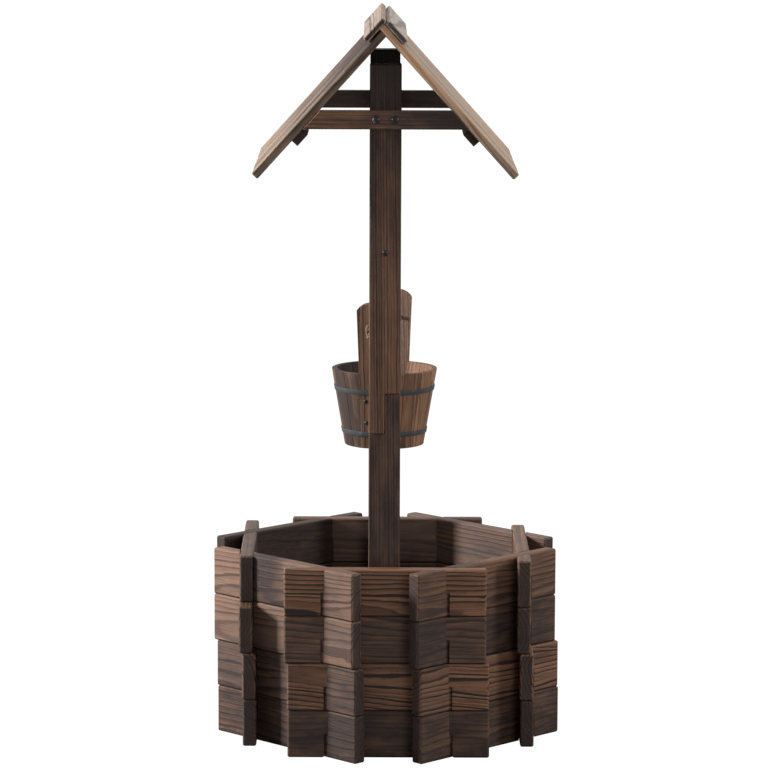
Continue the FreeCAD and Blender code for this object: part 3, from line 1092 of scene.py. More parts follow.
def slat_row_tree() -> bpy.types.NodeTree:
    """A row of slats side by side, each slipped a little along the slope."""
    sheet = PatternSheet("slat_row", Count="Int", Pitch="Float", Slip="Vector")
    line = sheet.line(sheet.size("Count"), sheet.vector(0.0, sheet.size("Pitch"), 0.0))
    slip = sheet.scaled(sheet.given["Slip"], sheet.chance(0.0, 1.0, Seed.SLIP))
    return sheet.close(sheet.repeat(sheet.moved(line, slip)))


def stave_ring_tree(first_darkening: float = -0.37, second_more: float = 1.05) -> bpy.types.NodeTree:
    """Two arcs of staves between two gaps.

    Args:
        first_darkening: How much darker than the given stave the first arc is, on the bucket's right.
        second_more: How much darker again the second arc is, on the bucket's left.

    Returns:
        The finished tree.
    """
    sheet = PatternSheet("stave_ring", Per_Side="Int", Step="Float", First="Float")
    count = sheet.size("Per Side")
    line = sheet.line(count * 2, (0.0, 0.0, 0.0))
    index = sheet.index()
    second = index.maths("GREATER_THAN", index, count - 0.5)
    angle = sheet.size("First") + (index - second * count) * sheet.size("Step") + second * math.pi
    turn = sheet.add("FunctionNodeEulerToRotation", None, {0: sheet.vector(0.0, 0.0, angle)}).outputs[0]
    return sheet.close(sheet.repeat(line, turn, second_more * second + first_darkening))


def fastener_tree(most_turned: float = 6.28) -> bpy.types.NodeTree:
    """A fastener on each point, facing along the point's own direction and turned by chance.

    Args:
        most_turned: The greatest angle by which one is turned.

    Returns:
        The finished tree.
    """
    sheet = PatternSheet("fasteners", Fastener="Object")
    shape = sheet.add("GeometryNodeObjectInfo", {"transform_space": "ORIGINAL"},
                      {"Object": sheet.given["Fastener"]}).outputs["Geometry"]
    turned = sheet.add("FunctionNodeAxisAngleToRotation", None,
                       {"Axis": tuple(UP), "Angle": sheet.chance(0.0, most_turned, Seed.SCREW_TURN)}).outputs[0]
    facing = sheet.add("FunctionNodeAlignRotationToVector", {"axis": "Z"},
                       {"Vector": sheet.named("facing")}).outputs[0]
    turn = sheet.add("FunctionNodeRotateRotation", {"rotation_space": "LOCAL"},
                     {"Rotation": facing, "Rotate By": turned}).outputs[0]
    made = sheet.add("GeometryNodeInstanceOnPoints", None,
                     {"Points": sheet.given["Geometry"], "Instance": shape, "Rotation": turn}).outputs[0]
    return sheet.close(made)


def strand_tree(strands: int = 3, sides: int = 10) -> bpy.types.NodeTree:
    """Strands twisted round a line.

    Args:
        strands: The number of strands.
        sides: The number of sides of each strand's section.

    Returns:
        The finished tree.
    """
    sheet = PatternSheet("strands", Strand_Radius="Float", Spread="Float", Lay="Float", Step="Float")
    line = sheet.add("GeometryNodeResampleCurve", {"mode": "LENGTH"},
                     {"Curve": sheet.given["Geometry"], "Length": sheet.given["Step"]}).outputs[0]
    ring = sheet.add("GeometryNodeCurvePrimitiveCircle", {"mode": "RADIUS"},
                     {"Resolution": sides, "Radius": sheet.size("Strand Radius")}).outputs[0]
    ring = sheet.store(ring, "round", sheet.vector(sheet.index() / sides, 0.0, 0.0))
    length = sheet.term(sheet.add("GeometryNodeSplineParameter").outputs["Length"])
    normal = sheet.add("GeometryNodeInputNormal").outputs[0]
    tangent = sheet.add("GeometryNodeInputTangent").outputs[0]
    side = sheet.add("ShaderNodeVectorMath", {"operation": "CROSS_PRODUCT"}, {0: tangent, 1: normal}).outputs[0]
    join = sheet.add("GeometryNodeJoinGeometry")
    for strand in range(strands):
        angle = length / sheet.size("Lay") * math.tau + strand * math.tau / strands
        parts = [sheet.scaled(axis, angle.maths(operation, angle) * sheet.size("Spread"))
                 for operation, axis in (("COSINE", normal), ("SINE", side))]
        path = sheet.store(sheet.moved(line, sheet.sum(*parts)), "grain", sheet.vector(length, 0.0, float(strand)))
        tube = sheet.add("GeometryNodeCurveToMesh", None, {"Curve": path, "Profile Curve": ring, "Fill Caps": True})
        sheet.feed(join.inputs[0], tube.outputs[0])
    turned, _, _ = sheet.split(sheet.named("round"))
    return sheet.close(sheet.increase(join.outputs[0], "grain", 0.0, turned, 0.0))


# Sub-assemblies


@dataclass
class Assembly:
    """A part of the planter, with the CAD frame that it follows and the finishes that it wears."""

    frame: dict
    finishes: Finishes

    def timber(self, node: str, name: str, slot: Slot, choose: Grain | Callable[[Vector], Grain],
               rounding: Rounding, body: Body = Body.PLANTER) -> None:
        """Make a timber piece from its CAD node.

        Args:
            node: The node.
            name: The piece's name.
            slot: Its slot.
            choose: Its grain, or what gives it for a face's middle.
            rounding: How its edges are rounded.
            body: The body that it moves with.
        """
        mesh = softened(self.frame, node, rounding)
        grained(mesh, choose)
        self.finishes.dress(new_piece(name, mesh), slot, body, node)


@dataclass
class Bed(Assembly):
    """The octagonal bed of half-lapped boards."""

    apothem: float = 235 * MM
    board_height: float = 76.5 * MM
    rounding: Rounding = Rounding(0.9 * MM)
    strips: int = 6
    # The fades on the front-left boards and on the front-right boards above the lowest are painted light and shade:
    # the far ends, which more lamp light reaches, are painted lighter, and the boards darker towards the front, by
    # the shaded recesses beside the columns.
    tones: dict[str, tuple[tuple[float, ...], ...]] = field(default_factory=lambda: {
        "front": ((0.80, 0.0, 0.6), (0.15, 0.0, 1.1, -0.6), (0.56, 0.15, 0.8), (0.06, 0.0, 1.12, -0.15)),
        "front_right": ((0.79, 0.0, 0.6, 0.1), (0.22, 0.0, 1.1, -1.3), (0.88, 0.0, 0.5, -0.6),
                        (0.48, 0.04, 0.6, -0.8)),
        "right": ((0.88, 0.2, 0.6), (0.12, 0.0, 1.1), (0.60, 0.0, 0.7), (0.36, 0.35, 0.45)),
        "back_right": ((0.6, 0.3, 0.6), (0.3, 0.3, 0.8), (0.4, 0.4, 0.6), (0.46, 0.7, 0.5)),
        "back": ((0.7, 0.1, 0.5), (0.7, 0.1, 0.5), (0.7, 0.2, 0.5), (0.45, 0.5, 0.4)),
        "back_left": ((0.8, 0.0, 0.5), (0.8, 0.0, 0.5), (0.9, 0.0, 0.5), (1.0, 0.0, 0.5)),
        "left": ((0.84, 0.2, 0.6), (0.45, 0.1, 1.1), (0.60, 0.0, 0.7), (0.56, 0.6, 0.45)),
        "front_left": ((0.84, 0.12, 0.7, 0.5), (0.63, 0.45, 0.8, 0.5), (0.12, 0.45, 0.55, 1.0),
                       (0.12, 0.38, 0.7, 1.0)),
    })
    # The patch on the top front-left board is a painted shadow: it darkens the board beside the left column, where
    # the column shades it.
    patches: dict = field(default_factory=lambda: {(4, "front_left"): PaintedShadow(-0.045, 0.055, 0.85)})
    sawn: dict = field(default_factory=lambda: {
        (2, "front"): ((-0.012, 0.020), (0.06, -0.05)),
        (4, "front"): ((0.03, 0.03), (0.006, 0.02)),
    })

    def grain(self, course: int, side: int) -> Grain:
        """How one board was sawn and burnt.

        Args:
            course: The course from the ground, from one.
            side: The side, from the front round to the right.

        Returns:
            The board's grain.
        """
        name = SIDE_NAMES[side]
        dice = random.Random(100 * course + side)
        turn = side * math.tau / len(SIDE_NAMES)
        outward = Vector((math.sin(turn), -math.cos(turn), 0.0))
        along = Vector((math.cos(turn), math.sin(turn), 0.0))
        middle = outward * self.apothem + UP * ((course - 0.5) * self.board_height)
        lean = (dice.uniform(-0.01, 0.01), dice.uniform(-0.05, 0.05))
        pith = (dice.uniform(-0.045, 0.045), dice.choice((-1, 1)) * dice.uniform(0.025, 0.06))
        pith, lean = self.sawn.get((course, name), (pith, lean))
        return Grain(middle, along, UP, pith, lean, Tone(*self.tones[name][course - 1]), seed=13 * course + side,
                     seam_shaded=True, patch=self.patches.get((course, name)))

    def cut(self, mesh: bpy.types.Mesh, grain: Grain) -> None:
        """Cut a board into strips across its painted shadow, so that its tone can change there.

        Args:
            mesh: The board.
            grain: Its grain.
        """
        shape = bmesh.new()
        shape.from_mesh(mesh)
        for index in range(self.strips + 1):
            reach = grain.patch.middle + grain.patch.half * (2 * index / self.strips - 1)
            bmesh.ops.bisect_plane(shape, geom=shape.verts[:] + shape.edges[:] + shape.faces[:],
                                   plane_co=grain.origin + grain.along * reach, plane_no=grain.along)
        shape.to_mesh(mesh)
        shape.free()

    def build(self) -> None:
        """Make all boards."""
        for course in range(1, COURSES + 1):
            for side, name in enumerate(SIDE_NAMES):
                node = f"course_{course}_{name}"
                grain = self.grain(course, side)
                mesh = softened(self.frame, node, self.rounding)
                if grain.patch:
                    self.cut(mesh, grain)
                grained(mesh, grain)
                self.finishes.dress(new_piece(f"board_{node}", mesh), Slot.BED, Body.PLANTER, node)


@dataclass
class Frame(Assembly):
    """The posts, the braces, the battens and the rope bar."""

    post_rounding: Rounding = Rounding(0.6 * MM)
    brace_rounding: Rounding = Rounding(1.2 * MM, 3)
    batten_rounding: Rounding = Rounding(0.9 * MM)
    bar_radius: float = 11 * MM
    bar_turning: float = 0.25 * MM
    half_bar: float = 171 * MM
    bar_rounds: int = 28
    bar_steps: int = 24
    post_tones: dict[str, Tone] = field(default_factory=lambda: {
        "post_front_upper": Tone(0.26, 0.0, 0.9, 1.9, 5.0),
        "post_front_lower": Tone(0.80, 0.0, 0.9, -0.2),
        "post_back_upper": Tone(0.8, 0.0, 0.9, 1.4, 3.6),
        "post_back_lower": Tone(0.8, 0.0, 0.9, 0.3),
    })
    brace_tones: dict[str, Tone] = field(default_factory=lambda: {
        "brace_front": Tone(0.67, 0.0, 0.6, 4.2),
        "brace_back": Tone(0.46, 1.2, 0.05),
    })
    batten_shift: float = 0.14
    batten_height: float = 1.01
    batten_tone: Tone = Tone(0.75, 0.0, 0.6)
    bar_tone: Tone = Tone(0.45, 0.0, 0.8)

    def posts(self) -> None:
        """Make the four post pieces, their grain upright."""
        for number, (node, tone) in enumerate(self.post_tones.items()):
            low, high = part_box(node)
            side = 1 if "front" in node else -1
            pith = (0.045 + 0.01 * number, side * (0.022 + 0.004 * number))
            grain = Grain((low + high) / 2, UP, RIGHT, pith, (0.008, 0.004), tone, seed=5 + number)
            self.timber(node, node.replace("post", "timber_post"), Slot.POST, grain, self.post_rounding)

    def braces(self) -> None:
        """Make both braces, their grain from side to side."""
        for number, (node, tone) in enumerate(self.brace_tones.items()):
            low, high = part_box(node)
            grain = Grain((low + high) / 2, RIGHT, UP, (0.05, 0.02), (0.01, 0.0), tone, seed=30 + number)
            self.timber(node, "cross_" + node, Slot.BRACE, grain, self.brace_rounding)

    def battens(self) -> None:
        """Make the battens under both sides of the roof."""
        left, right = (Grain(Vector((FRAME_X + sign * self.batten_shift, 0, self.batten_height)), BACK, RIGHT,
                             (0.03, 0.03), (0.0, 0.01), self.batten_tone, seed=40 + sign) for sign in (-1, 1))
        self.timber("roof_battens", "under_battens", Slot.BRACE, lambda point: right if point.x > FRAME_X else left,
                    self.batten_rounding)

    def bar(self) -> None:
        """Make the turned bar, a little uneven along its length."""
        dice = random.Random(7)
        rings = []
        for step in range(self.bar_steps + 1):
            y = -self.half_bar + 2 * self.half_bar * step / self.bar_steps
            radius = self.bar_radius - dice.uniform(0.0, self.bar_turning)
            rings.append([(FRAME_X + x, y, BAR_Z + z) for x, z in circle(radius, self.bar_rounds)])
        mesh = skinned("bar", rings)
        grained(mesh, Grain(Vector((FRAME_X, 0, BAR_Z)), BACK, UP, (0.01, 0.006), (0.01, 0.02), self.bar_tone,
                            seed=60), flat_width=6 * MM)
        self.finishes.dress(new_piece("turned_bar", mesh), Slot.BAR, Body.PLANTER, "rope_bar")

    def build(self) -> None:
        """Make all pieces of the frame."""
        self.posts()
        self.braces()
        self.battens()
        self.bar()


@dataclass
class Roof(Assembly):
    """The roof slats and the ridge caps."""

    slats: int = 6
    pitch: float = 75.4 * MM
    slip: float = 2.4 * MM
    first_middle: float = -190 * MM
    front_edge: float = -225.5 * MM
    bare_height: float = 1.0
    rounding: Rounding = Rounding(1.1 * MM)
    slat_tones: dict[str, Tone] = field(default_factory=lambda: {
        "left": Tone(1.05, 0.25, 0.4, 2.8),
        "right": Tone(0.0, 0.35, 0.45, 0.8),
    })
    cap_tones: dict[str, Tone] = field(default_factory=lambda: {
        "left": Tone(0.24, 0.4, 0.6),
        "right": Tone(0.05, 0.9, 0.6),
    })
    edge_tones: dict[str, Tone] = field(default_factory=lambda: {
        "left": Tone(0.66, 0.1, 0.5),
        "right": Tone(0.12, 0.25, 0.5),
    })
    bare_tone: Tone = Tone(-1.6, 0.0, 0.3)

    def tone_edge(self, mesh: bpy.types.Mesh, side: str) -> None:
        """Set the tone of the front edge of the first slat. On the right it is bare near the ridge.

        Args:
            mesh: The row of slats.
            side: The side of the ridge.
        """
        for vertex, value in zip(mesh.vertices, mesh.attributes["tone"].data):
            if vertex.co.y < self.front_edge:
                bare = side == "right" and vertex.co.z > self.bare_height
                value.vector = (self.bare_tone if bare else self.edge_tones[side]).at()

    def row(self, side: str, number: int, along: Vector, tree: bpy.types.NodeTree) -> None:
        """Make the slats of one side.

        Args:
            side: The side of the ridge.
            number: The side's number.
            along: The direction up the slope.
            tree: The slat row tree.
        """
        mesh = softened(self.frame, f"slat_{side}_1", self.rounding)
        grained(mesh, Grain(Vector((FRAME_X, self.first_middle, RIDGE_Z)), along, BACK, (0.012, 0.03), (0.0, 0.03),
                            self.slat_tones[side], seed=70 + number))
        row = apply_pattern(new_piece("slat", mesh), tree, f"slats_{side}", Count=self.slats, Pitch=self.pitch,
                            Slip=along * self.slip, Material=self.finishes.by_slot[Slot.SLAT])
        self.tone_edge(row.data, side)
        self.finishes.dress(row, Slot.SLAT, Body.PLANTER,
                            *(f"slat_{side}_{index}" for index in range(1, self.slats + 1)))

    def build(self) -> None:
        """Make the slats of both sides and their caps."""
        tree = slat_row_tree()
        for number, (side, sign) in enumerate((("left", 1), ("right", -1))):
            along = Vector((sign * math.cos(ROOF_SLOPE), 0, math.sin(ROOF_SLOPE)))
            self.row(side, number, along, tree)
            grain = Grain(Vector((FRAME_X, 0, RIDGE_Z)), BACK, along, (0.02, 0.04), (0.0, 0.01),
                          self.cap_tones[side], seed=80 + number)
            self.timber(f"ridge_cap_{side}", f"cap_{side}", Slot.CAP, grain, self.rounding)


@dataclass
class Bucket(Assembly):
    """The stave bucket with its ears, floor and hoops."""

    depth: float = 125 * MM
    rim_radius: float = 86 * MM
    foot_radius: float = 64.5 * MM
    wall: float = 9 * MM
    per_side: int = 7
    gap: float = 0.3 * MM
    stave_strips: int = 4
    stave_rounding: Rounding = Rounding(0.8 * MM)
    stave_tone: Tone = Tone(0.35, 0.0, 0.5)
    ear_width: float = 44 * MM
    ear_reach: float = 80 * MM
    ear_slope: float = 0.165
    ear_rounding: Rounding = Rounding(1.1 * MM, 3, 2.5 * MM)
    near_ear_tone: Tone = Tone(0.24, 0.15, 0.6)
    far_ear_tone: Tone = Tone(0.0, 0.5, 0.6)
    floor_heights: tuple[float, float] = (8 * MM, 17 * MM)
    floor_gap: float = 0.25 * MM
    floor_ear_gap: float = 0.4 * MM
    floor_rounds: int = 72
    floor_rounding: Rounding = Rounding(0.6 * MM)
    floor_tone: Tone = Tone(0.6, 0.0, 0.7)
    hoop_heights: tuple[float, float] = (24 * MM, 94 * MM)
    hoop_width: float = 8 * MM
    hoop_depth: float = 1.2 * MM
    hoop_edge: float = 0.3 * MM
    hoop_gap: float = 0.1 * MM
    screw_shift: float = 12.5 * MM
    screw_heights: tuple[float, float] = (43 * MM, 79 * MM)

    @property
    def ear_half(self) -> float:
        """Half the angle that an ear takes of the ring."""
        return math.asin(self.ear_width / 2 / self.rim_radius)

    @property
    def step(self) -> float:
        """The angle of one stave."""
        return (math.pi - 2 * self.ear_half) / self.per_side

    def place(self) -> Matrix:
        """The bucket's place under the bar."""
        return Matrix.Translation((FRAME_X, 0, BUCKET_FOOT_Z)) @ Matrix.Rotation(EAR_TURN, 4, "Z")

    def radius(self, height: float) -> float:
        """The ring's radius at a height above the foot."""
        return self.foot_radius + (self.rim_radius - self.foot_radius) * height / self.depth

    def ear_face(self, height: float) -> float:
        """How far out an ear's flat face is at a height above the foot."""
        return self.radius(height) * math.cos(self.ear_half)

    def staves(self) -> None:
        """Make one stave with a rounded face and set it round the ring."""
        rings = []
        for height in (0.0, self.depth):
            outer = self.radius(height)
            half = self.step / 2 - self.gap / 2 / outer
            angles = [-half + 2 * half * strip / self.stave_strips for strip in range(self.stave_strips + 1)]
            ring = [(outer, angle) for angle in angles] + [(outer - self.wall, angle) for angle in reversed(angles)]
            rings.append([(reach * math.cos(angle), reach * math.sin(angle), height) for reach, angle in ring])
        mesh = skinned("stave", rings, rounding=self.stave_rounding)
        along = Vector((self.rim_radius - self.foot_radius, 0, self.depth))
        grained(mesh, Grain(Vector((self.rim_radius, 0, 0)), along, BACK, (0.015, 0.03), (0.03, 0.02),
                            self.stave_tone, seed=90))
        first = -math.pi / 2 + self.ear_half + self.step / 2
        ring = apply_pattern(new_piece("stave", mesh), stave_ring_tree(), "staves", Per_Side=self.per_side,
                             Step=self.step, First=first, Material=self.finishes.by_slot[Slot.BUCKET])
        ring.data.transform(self.place())
        self.finishes.dress(ring, Slot.BUCKET, Body.BUCKET, "bucket_staves")

    def ears(self) -> None:
        """Make both ears, their grain up the slope of the staves."""
        across = self.place().to_3x3() @ RIGHT
        near, far = (Grain(Vector((FRAME_X, sign * self.ear_reach, BUCKET_FOOT_Z)),
                           Vector((0, sign * self.ear_slope, 1)), across, (0.012, 0.04), (0.015, 0.01), tone,
                           seed=95 + sign)
                     for sign, tone in ((-1, self.near_ear_tone), (1, self.far_ear_tone)))
        self.timber("bucket_ears", "ears", Slot.BUCKET, lambda point: far if point.y > 0 else near,
                    self.ear_rounding, Body.BUCKET)

    def floor(self) -> None:
        """Make the floor board: round, and flat against the ears."""
        low = self.floor_heights[0]
        inside = self.radius(low) - self.wall - self.floor_gap
        flat = self.ear_face(low) - self.wall - self.floor_ear_gap
        mesh = skinned("floor", [[(x, max(-flat, min(flat, y)), height) for x, y in circle(inside, self.floor_rounds)]
                                 for height in self.floor_heights], rounding=self.floor_rounding)
        mesh.transform(self.place())
        grained(mesh, Grain(Vector((FRAME_X, 0, BUCKET_FOOT_Z)), RIGHT, BACK, (0.01, 0.03), (0.0, 0.02),
                            self.floor_tone, seed=99), flat_width=3 * MM)
        self.finishes.dress(new_piece("floor_board", mesh), Slot.BUCKET, Body.BUCKET, "bucket_floor")

    def hoop_line(self, height: float, offset: float) -> list[Vector]:
        """The closed line of a tight hoop over the staves and straight over the ears.

        Args:
            height: Its height above the foot.
            offset: How far it lies outside the wood.

        Returns:
            Its points.
        """
        radius = self.radius(height) + offset
        face = self.ear_face(height) + offset
        half = self.ear_width / 2 + offset
        spans = 4 * self.per_side
        angles = [-math.pi / 2 + self.ear_half + (math.pi - 2 * self.ear_half) * index / spans
                  for index in range(2, spans - 1)]
        right = [Vector((half, -face, height))]
        right += [Vector((radius * math.cos(angle), radius * math.sin(angle), height)) for angle in angles]
        right.append(Vector((half, face, height)))
        return right + [Vector((-point.x, -point.y, height)) for point in right]

    def hoops(self) -> None:
        """Make both flat hoops with soft edges."""
        soft = self.hoop_edge
        solids = []
        for middle in self.hoop_heights:
            low, high = middle - self.hoop_width / 2, middle + self.hoop_width / 2
            section = [(low, soft), (low + soft, 0.0), (high - soft, 0.0), (high, soft),
                       (high, self.hoop_depth - soft), (high - soft, self.hoop_depth),
                       (low + soft, self.hoop_depth), (low, self.hoop_depth - soft)]
            solids.append([self.hoop_line(height, self.hoop_gap + out) for height, out in section])
        mesh = skinned("hoops", *solids, around=True)
        mesh.transform(self.place())
        smoothed(mesh, 40)
        self.finishes.dress(new_piece("hoops", mesh), Slot.HOOP, Body.BUCKET, "bucket_hoops")

    def screw_seats(self) -> list[tuple[Vector, Vector]]:
        """The places of the screws low on the ears, with the directions that they face."""
        lean = math.atan((self.rim_radius - self.foot_radius) * math.cos(self.ear_half) / self.depth)
        seats = []
        for sign in (-1, 1):
            facing = Vector((0, sign * math.cos(lean), -math.sin(lean)))
            for height in self.screw_heights:
                seat = Vector((sign * self.screw_shift, sign * self.ear_face(height), height))
                seats.append((self.place() @ seat, self.place().to_3x3() @ facing))
        return seats

    def build(self) -> None:
        """Make all pieces of the bucket."""
        self.staves()
        self.ears()
        self.floor()
        self.hoops()


@dataclass
class Rope:
    """The rope from ear to ear over the bar, with a knot outside each ear.

    Its control points and the sizes of the knot's loops are in millimetres.
    """

    finishes: Finishes
    radius: float = 3 * MM
    knot: Point = (-25.07, -100.53, 668.0)
    inside: Point = (-17.93, -71.91, 668.0)
    lower: Point = (-17.29, -61.1, 696.1)
    upper: Point = (-15.17, -25.35, 788.8)
    bar: Point = (-14.4, -12.4, 822.4)
    knot_reach: float = 104.4 * MM
    knot_points: int = 24
    knot_middle: float = 2.2
    knot_loop: float = 1.35
    knot_depth: float = 1.5
    knot_rise: float = 2.9
    knot_tightness: float = 0.9
    strand_share: float = 0.54
    spread_share: float = 0.56
    lay_share: float = 6.0
    step_share: float = 0.35

    def points(self) -> list[Vector]:
        """The control points of the rope's line in metres."""
        near = [Vector(point) for point in (self.knot, self.inside, self.lower, self.upper, self.bar)]
        far = [Vector((-point.x, -point.y, point.z)) for point in reversed(near)]
        return [point * MM + RIGHT * FRAME_X for point in near + far]

    def spline(self, name: str, points: Sequence[Vector], closed: bool = False) -> bpy.types.Object:
        """A smooth curve.

        Args:
            name: The object's name.
            points: The control points.
            closed: Whether the line is closed.

        Returns:
            The curve object.
        """
        curve = bpy.data.curves.new(name, "CURVE")
        curve.dimensions = "3D"
        curve.resolution_u = 24
        line = curve.splines.new("NURBS")
        line.points.add(len(points) - 1)
        for control, point in zip(line.points, points):
            control.co = (*point, 1.0)
        line.order_u = 3
        line.use_endpoint_u = not closed
        line.use_cyclic_u = closed
        return linked(name, curve)

    def twisted(self, line: bpy.types.Object, tree: bpy.types.NodeTree, name: str, radius: float) -> bpy.types.Object:
        """Three strands along a line.

        Args:
            line: The curve, which is removed.
            tree: The strand tree.
            name: The new piece's name.
            radius: The radius of the whole rope.

        Returns:
            The plain piece.
        """
        piece = apply_pattern(line, tree, name, Strand_Radius=radius * self.strand_share,
                              Spread=radius * self.spread_share, Lay=radius * self.lay_share,
                              Step=radius * self.step_share, Material=self.finishes.by_slot[Slot.ROPE])
        piece.data.shade_smooth()
        return piece

    def knot_line(self, sign: int) -> list[Vector]:
        """The closed line of an overhand knot outside one ear. It has no loose tail.

        Args:
            sign: Which ear it is: below nothing for the near one.

        Returns:
            Its control points in metres.
        """
        turn = Matrix.Rotation(EAR_TURN, 3, "Z")
        middle = Vector((FRAME_X, 0, EAR_HOLE_Z)) + turn @ (BACK * (sign * self.knot_reach))
        points = []
        for index in range(self.knot_points):
            angle = math.tau * index / self.knot_points
            bend = self.knot_middle + self.knot_loop * math.cos(3 * angle)
            points.append(Vector((bend * math.cos(2 * angle), self.knot_depth * math.sin(3 * angle) * sign,
                                  self.knot_rise * bend * math.sin(2 * angle))))
        return [middle + turn @ point * MM for point in points]

    def build(self) -> None:
        tree = strand_tree()
        line = self.spline("rope_line", self.points())
        read = plain_mesh(line)
        path = [vertex.co.copy() for vertex in read.vertices]
        bpy.data.meshes.remove(read)
        length = sum((b - a).length for a, b in zip(path, path[1:]))
        rope = self.twisted(line, tree, "rope", self.radius)
        knots = [self.twisted(self.spline("knot_line", self.knot_line(sign), True), tree, name,
                              self.radius * self.knot_tightness)
                 for sign, name in ((-1, "knot_near"), (1, "knot_far"))]
        for knot in knots:
            self.finishes.dress(knot, Slot.ROPE, Body.SLING)
        self.finishes.dress(rope, Slot.ROPE, Body.SLING, "bucket_rope")
        2 * self.radius
        LOG.info("rope is %.1f mm long", length / MM)


@dataclass(frozen=True)
class Screw:
    """A domed screw head with a cross recess."""

    radius: float
    dome: float
    rounds: int = 24
    section: tuple[tuple[float, float], ...] = (
        (1.0, 0.0), (1.0, 0.16), (0.96, 0.34), (0.84, 0.6), (0.64, 0.82), (0.44, 0.93), (0.34, 0.97))
    recess: tuple[float, float] = (0.12, 0.22)
    recess_height: float = 0.45

    def build(self) -> bpy.types.Object:
        """Make the screw, its seat at the origin."""
        rings = [[(x, y, self.dome * up) for x, y in circle(self.radius * across, self.rounds)]
                 for across, up in self.section]
        core, lobe = self.recess
        ring = []
        for turn in range(self.rounds):
            angle = math.tau * turn / self.rounds
            across = self.radius * (core + lobe * math.cos(2 * angle) ** 2)
            ring.append((across * math.cos(angle), across * math.sin(angle), self.dome * self.recess_height))
        mesh = skinned("screw", rings + [ring])
        smoothed(mesh, 35)
        return new_piece("screw", mesh)


@dataclass
class Fasteners:
    """The domed screws of the frame and of the bucket."""

    finishes: Finishes
    bucket: Bucket
    brace_screw: Screw = Screw(6.25 * MM, 3.5 * MM)
    bar_screw: Screw = Screw(5 * MM, 3 * MM)
    ear_screw: Screw = Screw(3.4 * MM, 1.6 * MM)
    brace_face: float = 231 * MM
    brace_seat_z: float = 1018.4 * MM
    brace_seat_x: float = 15 * MM
    post_face: float = 213 * MM

    def group(self, name: str, seats: Sequence[tuple[Vector, Vector]], screw: Screw, tree: bpy.types.NodeTree,
              body: Body, *nodes: str) -> None:
        """Set a screw on each seat.

        Args:
            name: The new piece's name.
            seats: The places and the directions that they face.
            screw: The screw to repeat.
            tree: The fastener tree.
            body: The body that they move with.
            nodes: The nodes that they stand for.
        """
        shape = screw.build()
        mesh = bpy.data.meshes.new(name)
        mesh.from_pydata([place for place, _ in seats], [], [])
        write_vectors(mesh, "facing", Domain.POINT, [facing for _, facing in seats])
        piece = apply_pattern(new_piece("seats", mesh), tree, name, Fastener=shape,
                              Material=self.finishes.by_slot[Slot.SCREW])
        bpy.data.objects.remove(shape)
        self.finishes.dress(piece, Slot.SCREW, body, *nodes)

    def build(self) -> None:
        """Make the screws of the braces, the bar and the ears."""
        tree = fastener_tree()
        brace_seats = [(Vector((FRAME_X + x, sign * self.brace_face, self.brace_seat_z)), BACK * sign)
                       for sign in (-1, 1) for x in (-self.brace_seat_x, self.brace_seat_x)]
        bar_seats = [(Vector((FRAME_X, sign * self.post_face, BAR_Z)), BACK * sign) for sign in (-1, 1)]
        self.group("brace_screw_heads", brace_seats, self.brace_screw, tree, Body.PLANTER, "frame_screws")
        self.group("bar_screw_heads", bar_seats, self.bar_screw, tree, Body.PLANTER, "frame_screws")
        self.group("ear_screw_heads", self.bucket.screw_seats(), self.ear_screw, tree, Body.BUCKET)


# Studio


@dataclass(frozen=True)
class Lamp:
    """A soft rectangular light, aimed at the middle of the object. Its power is in watts."""

    name: str
    place: Point
    width: float
    height: float
    power: float
    colour: Colour = WHITE
    target: Point = (0.0, 0.0, 0.5)

    def build(self) -> None:
        """Set the lamp in the scene."""
        data = bpy.data.lights.new(self.name, "AREA")
        data.shape = "RECTANGLE"
        data.size = self.width
        data.size_y = self.height
        data.energy = self.power
        data.color = self.colour
        lamp = linked(self.name, data)
        lamp.location = self.place
        lamp.rotation_mode = "QUATERNION"
        lamp.rotation_quaternion = (Vector(self.target) - Vector(self.place)).to_track_quat("-Z", "Y")


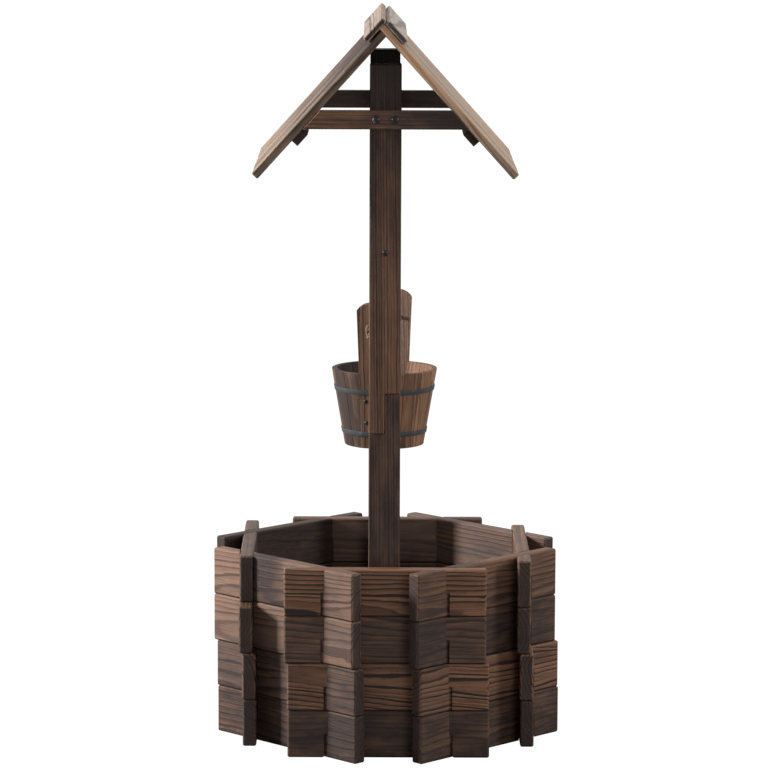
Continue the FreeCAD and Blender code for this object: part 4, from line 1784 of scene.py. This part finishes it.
@dataclass
class Studio:
    """The white floor, the soft lights and the camera."""

    eye: Point = (-0.0191, -6.2381, 1.4935)
    pitch: float = 0.1472
    yaw: float = -0.002
    roll: float = 0.0038
    lens: float = 180.8
    film: float = 36.0
    floor_radius: float = 3.4
    floor_rounds: int = 96
    floor_height: float = -0.5 * MM
    surround: float = 0.22
    backdrop: float = 0.80
    lamps: tuple[Lamp, ...] = (
        Lamp("key", (-3.85, -0.10, 1.95), 0.7, 1.0, 290.0, (1.0, 0.985, 0.975)),
        Lamp("right", (4.15, -0.70, 2.10), 1.2, 2.0, 80.0, (1.0, 0.99, 0.97)),
        Lamp("top", (0.3, 0.8, 4.0), 2.4, 2.4, 45.0),
        Lamp("front", (2.9, -7.9, 2.2), 3.0, 3.0, 131.0),
    )

    def camera(self) -> None:
        """Set the camera as the fit to the photograph gives it."""
        data = bpy.data.cameras.new("camera")
        data.lens = self.lens
        data.sensor_width = self.film
        data.clip_end = 100.0
        camera = linked("camera", data)
        right = Vector((math.cos(self.yaw), math.sin(self.yaw), 0))
        ahead = Vector((-math.sin(self.yaw) * math.cos(self.pitch), math.cos(self.yaw) * math.cos(self.pitch),
                        -math.sin(self.pitch)))
        up = right.cross(ahead)
        turned = right * math.cos(self.roll) + up * math.sin(self.roll)
        tall = up * math.cos(self.roll) - right * math.sin(self.roll)
        axes = Matrix((turned, tall, -ahead)).transposed().to_4x4()
        camera.matrix_world = Matrix.Translation(self.eye) @ axes
        bpy.context.scene.camera = camera

    def world(self) -> None:
        """A white surrounding: bright behind the object, dim in front of it, full white for the camera."""
        world = bpy.data.worlds.new("studio")
        bpy.context.scene.world = world
        world.use_nodes = True
        sheet = Sheet(world.node_tree)
        seen = sheet.term(sheet.add("ShaderNodeLightPath").outputs["Is Camera Ray"])
        _, behind, _ = sheet.split(sheet.add("ShaderNodeTexCoord").outputs["Generated"])
        light = behind.smooth(0.3, 0.75) * self.backdrop + self.surround
        background = world.node_tree.nodes["Background"]
        sheet.feed(background.inputs["Color"], (*WHITE, 1.0))
        sheet.feed(background.inputs["Strength"], light * (1 - seen) + seen * SEEN_WHITE)

    def floor(self) -> None:
        """A wide flat round floor."""
        mesh = bpy.data.meshes.new("floor")
        mesh.from_pydata([(x, y, self.floor_height) for x, y in circle(self.floor_radius, self.floor_rounds)], [],
                         [tuple(range(self.floor_rounds))])
        piece = new_piece("studio_floor", mesh)
        mesh.materials.append(StudioFloor().build())

    def build(self) -> None:
        """Set up the whole studio."""
        self.world()
        self.floor()
        for lamp in self.lamps:
            lamp.build()
        self.camera()
        bpy.context.scene.view_settings.view_transform = "Standard"


def main() -> None:
    """Build the planter piece by piece."""
    logging.basicConfig(level=logging.INFO, format="%(message)s")
    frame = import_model()
    finishes = Finishes()
    Studio().build()
    Rope(finishes).build()
    Bed(frame, finishes).build()
    Frame(frame, finishes).build()
    Roof(frame, finishes).build()
    bucket = Bucket(frame, finishes)
    bucket.build()
    Fasteners(finishes, bucket).build()


if __name__ == "__main__":
    main()
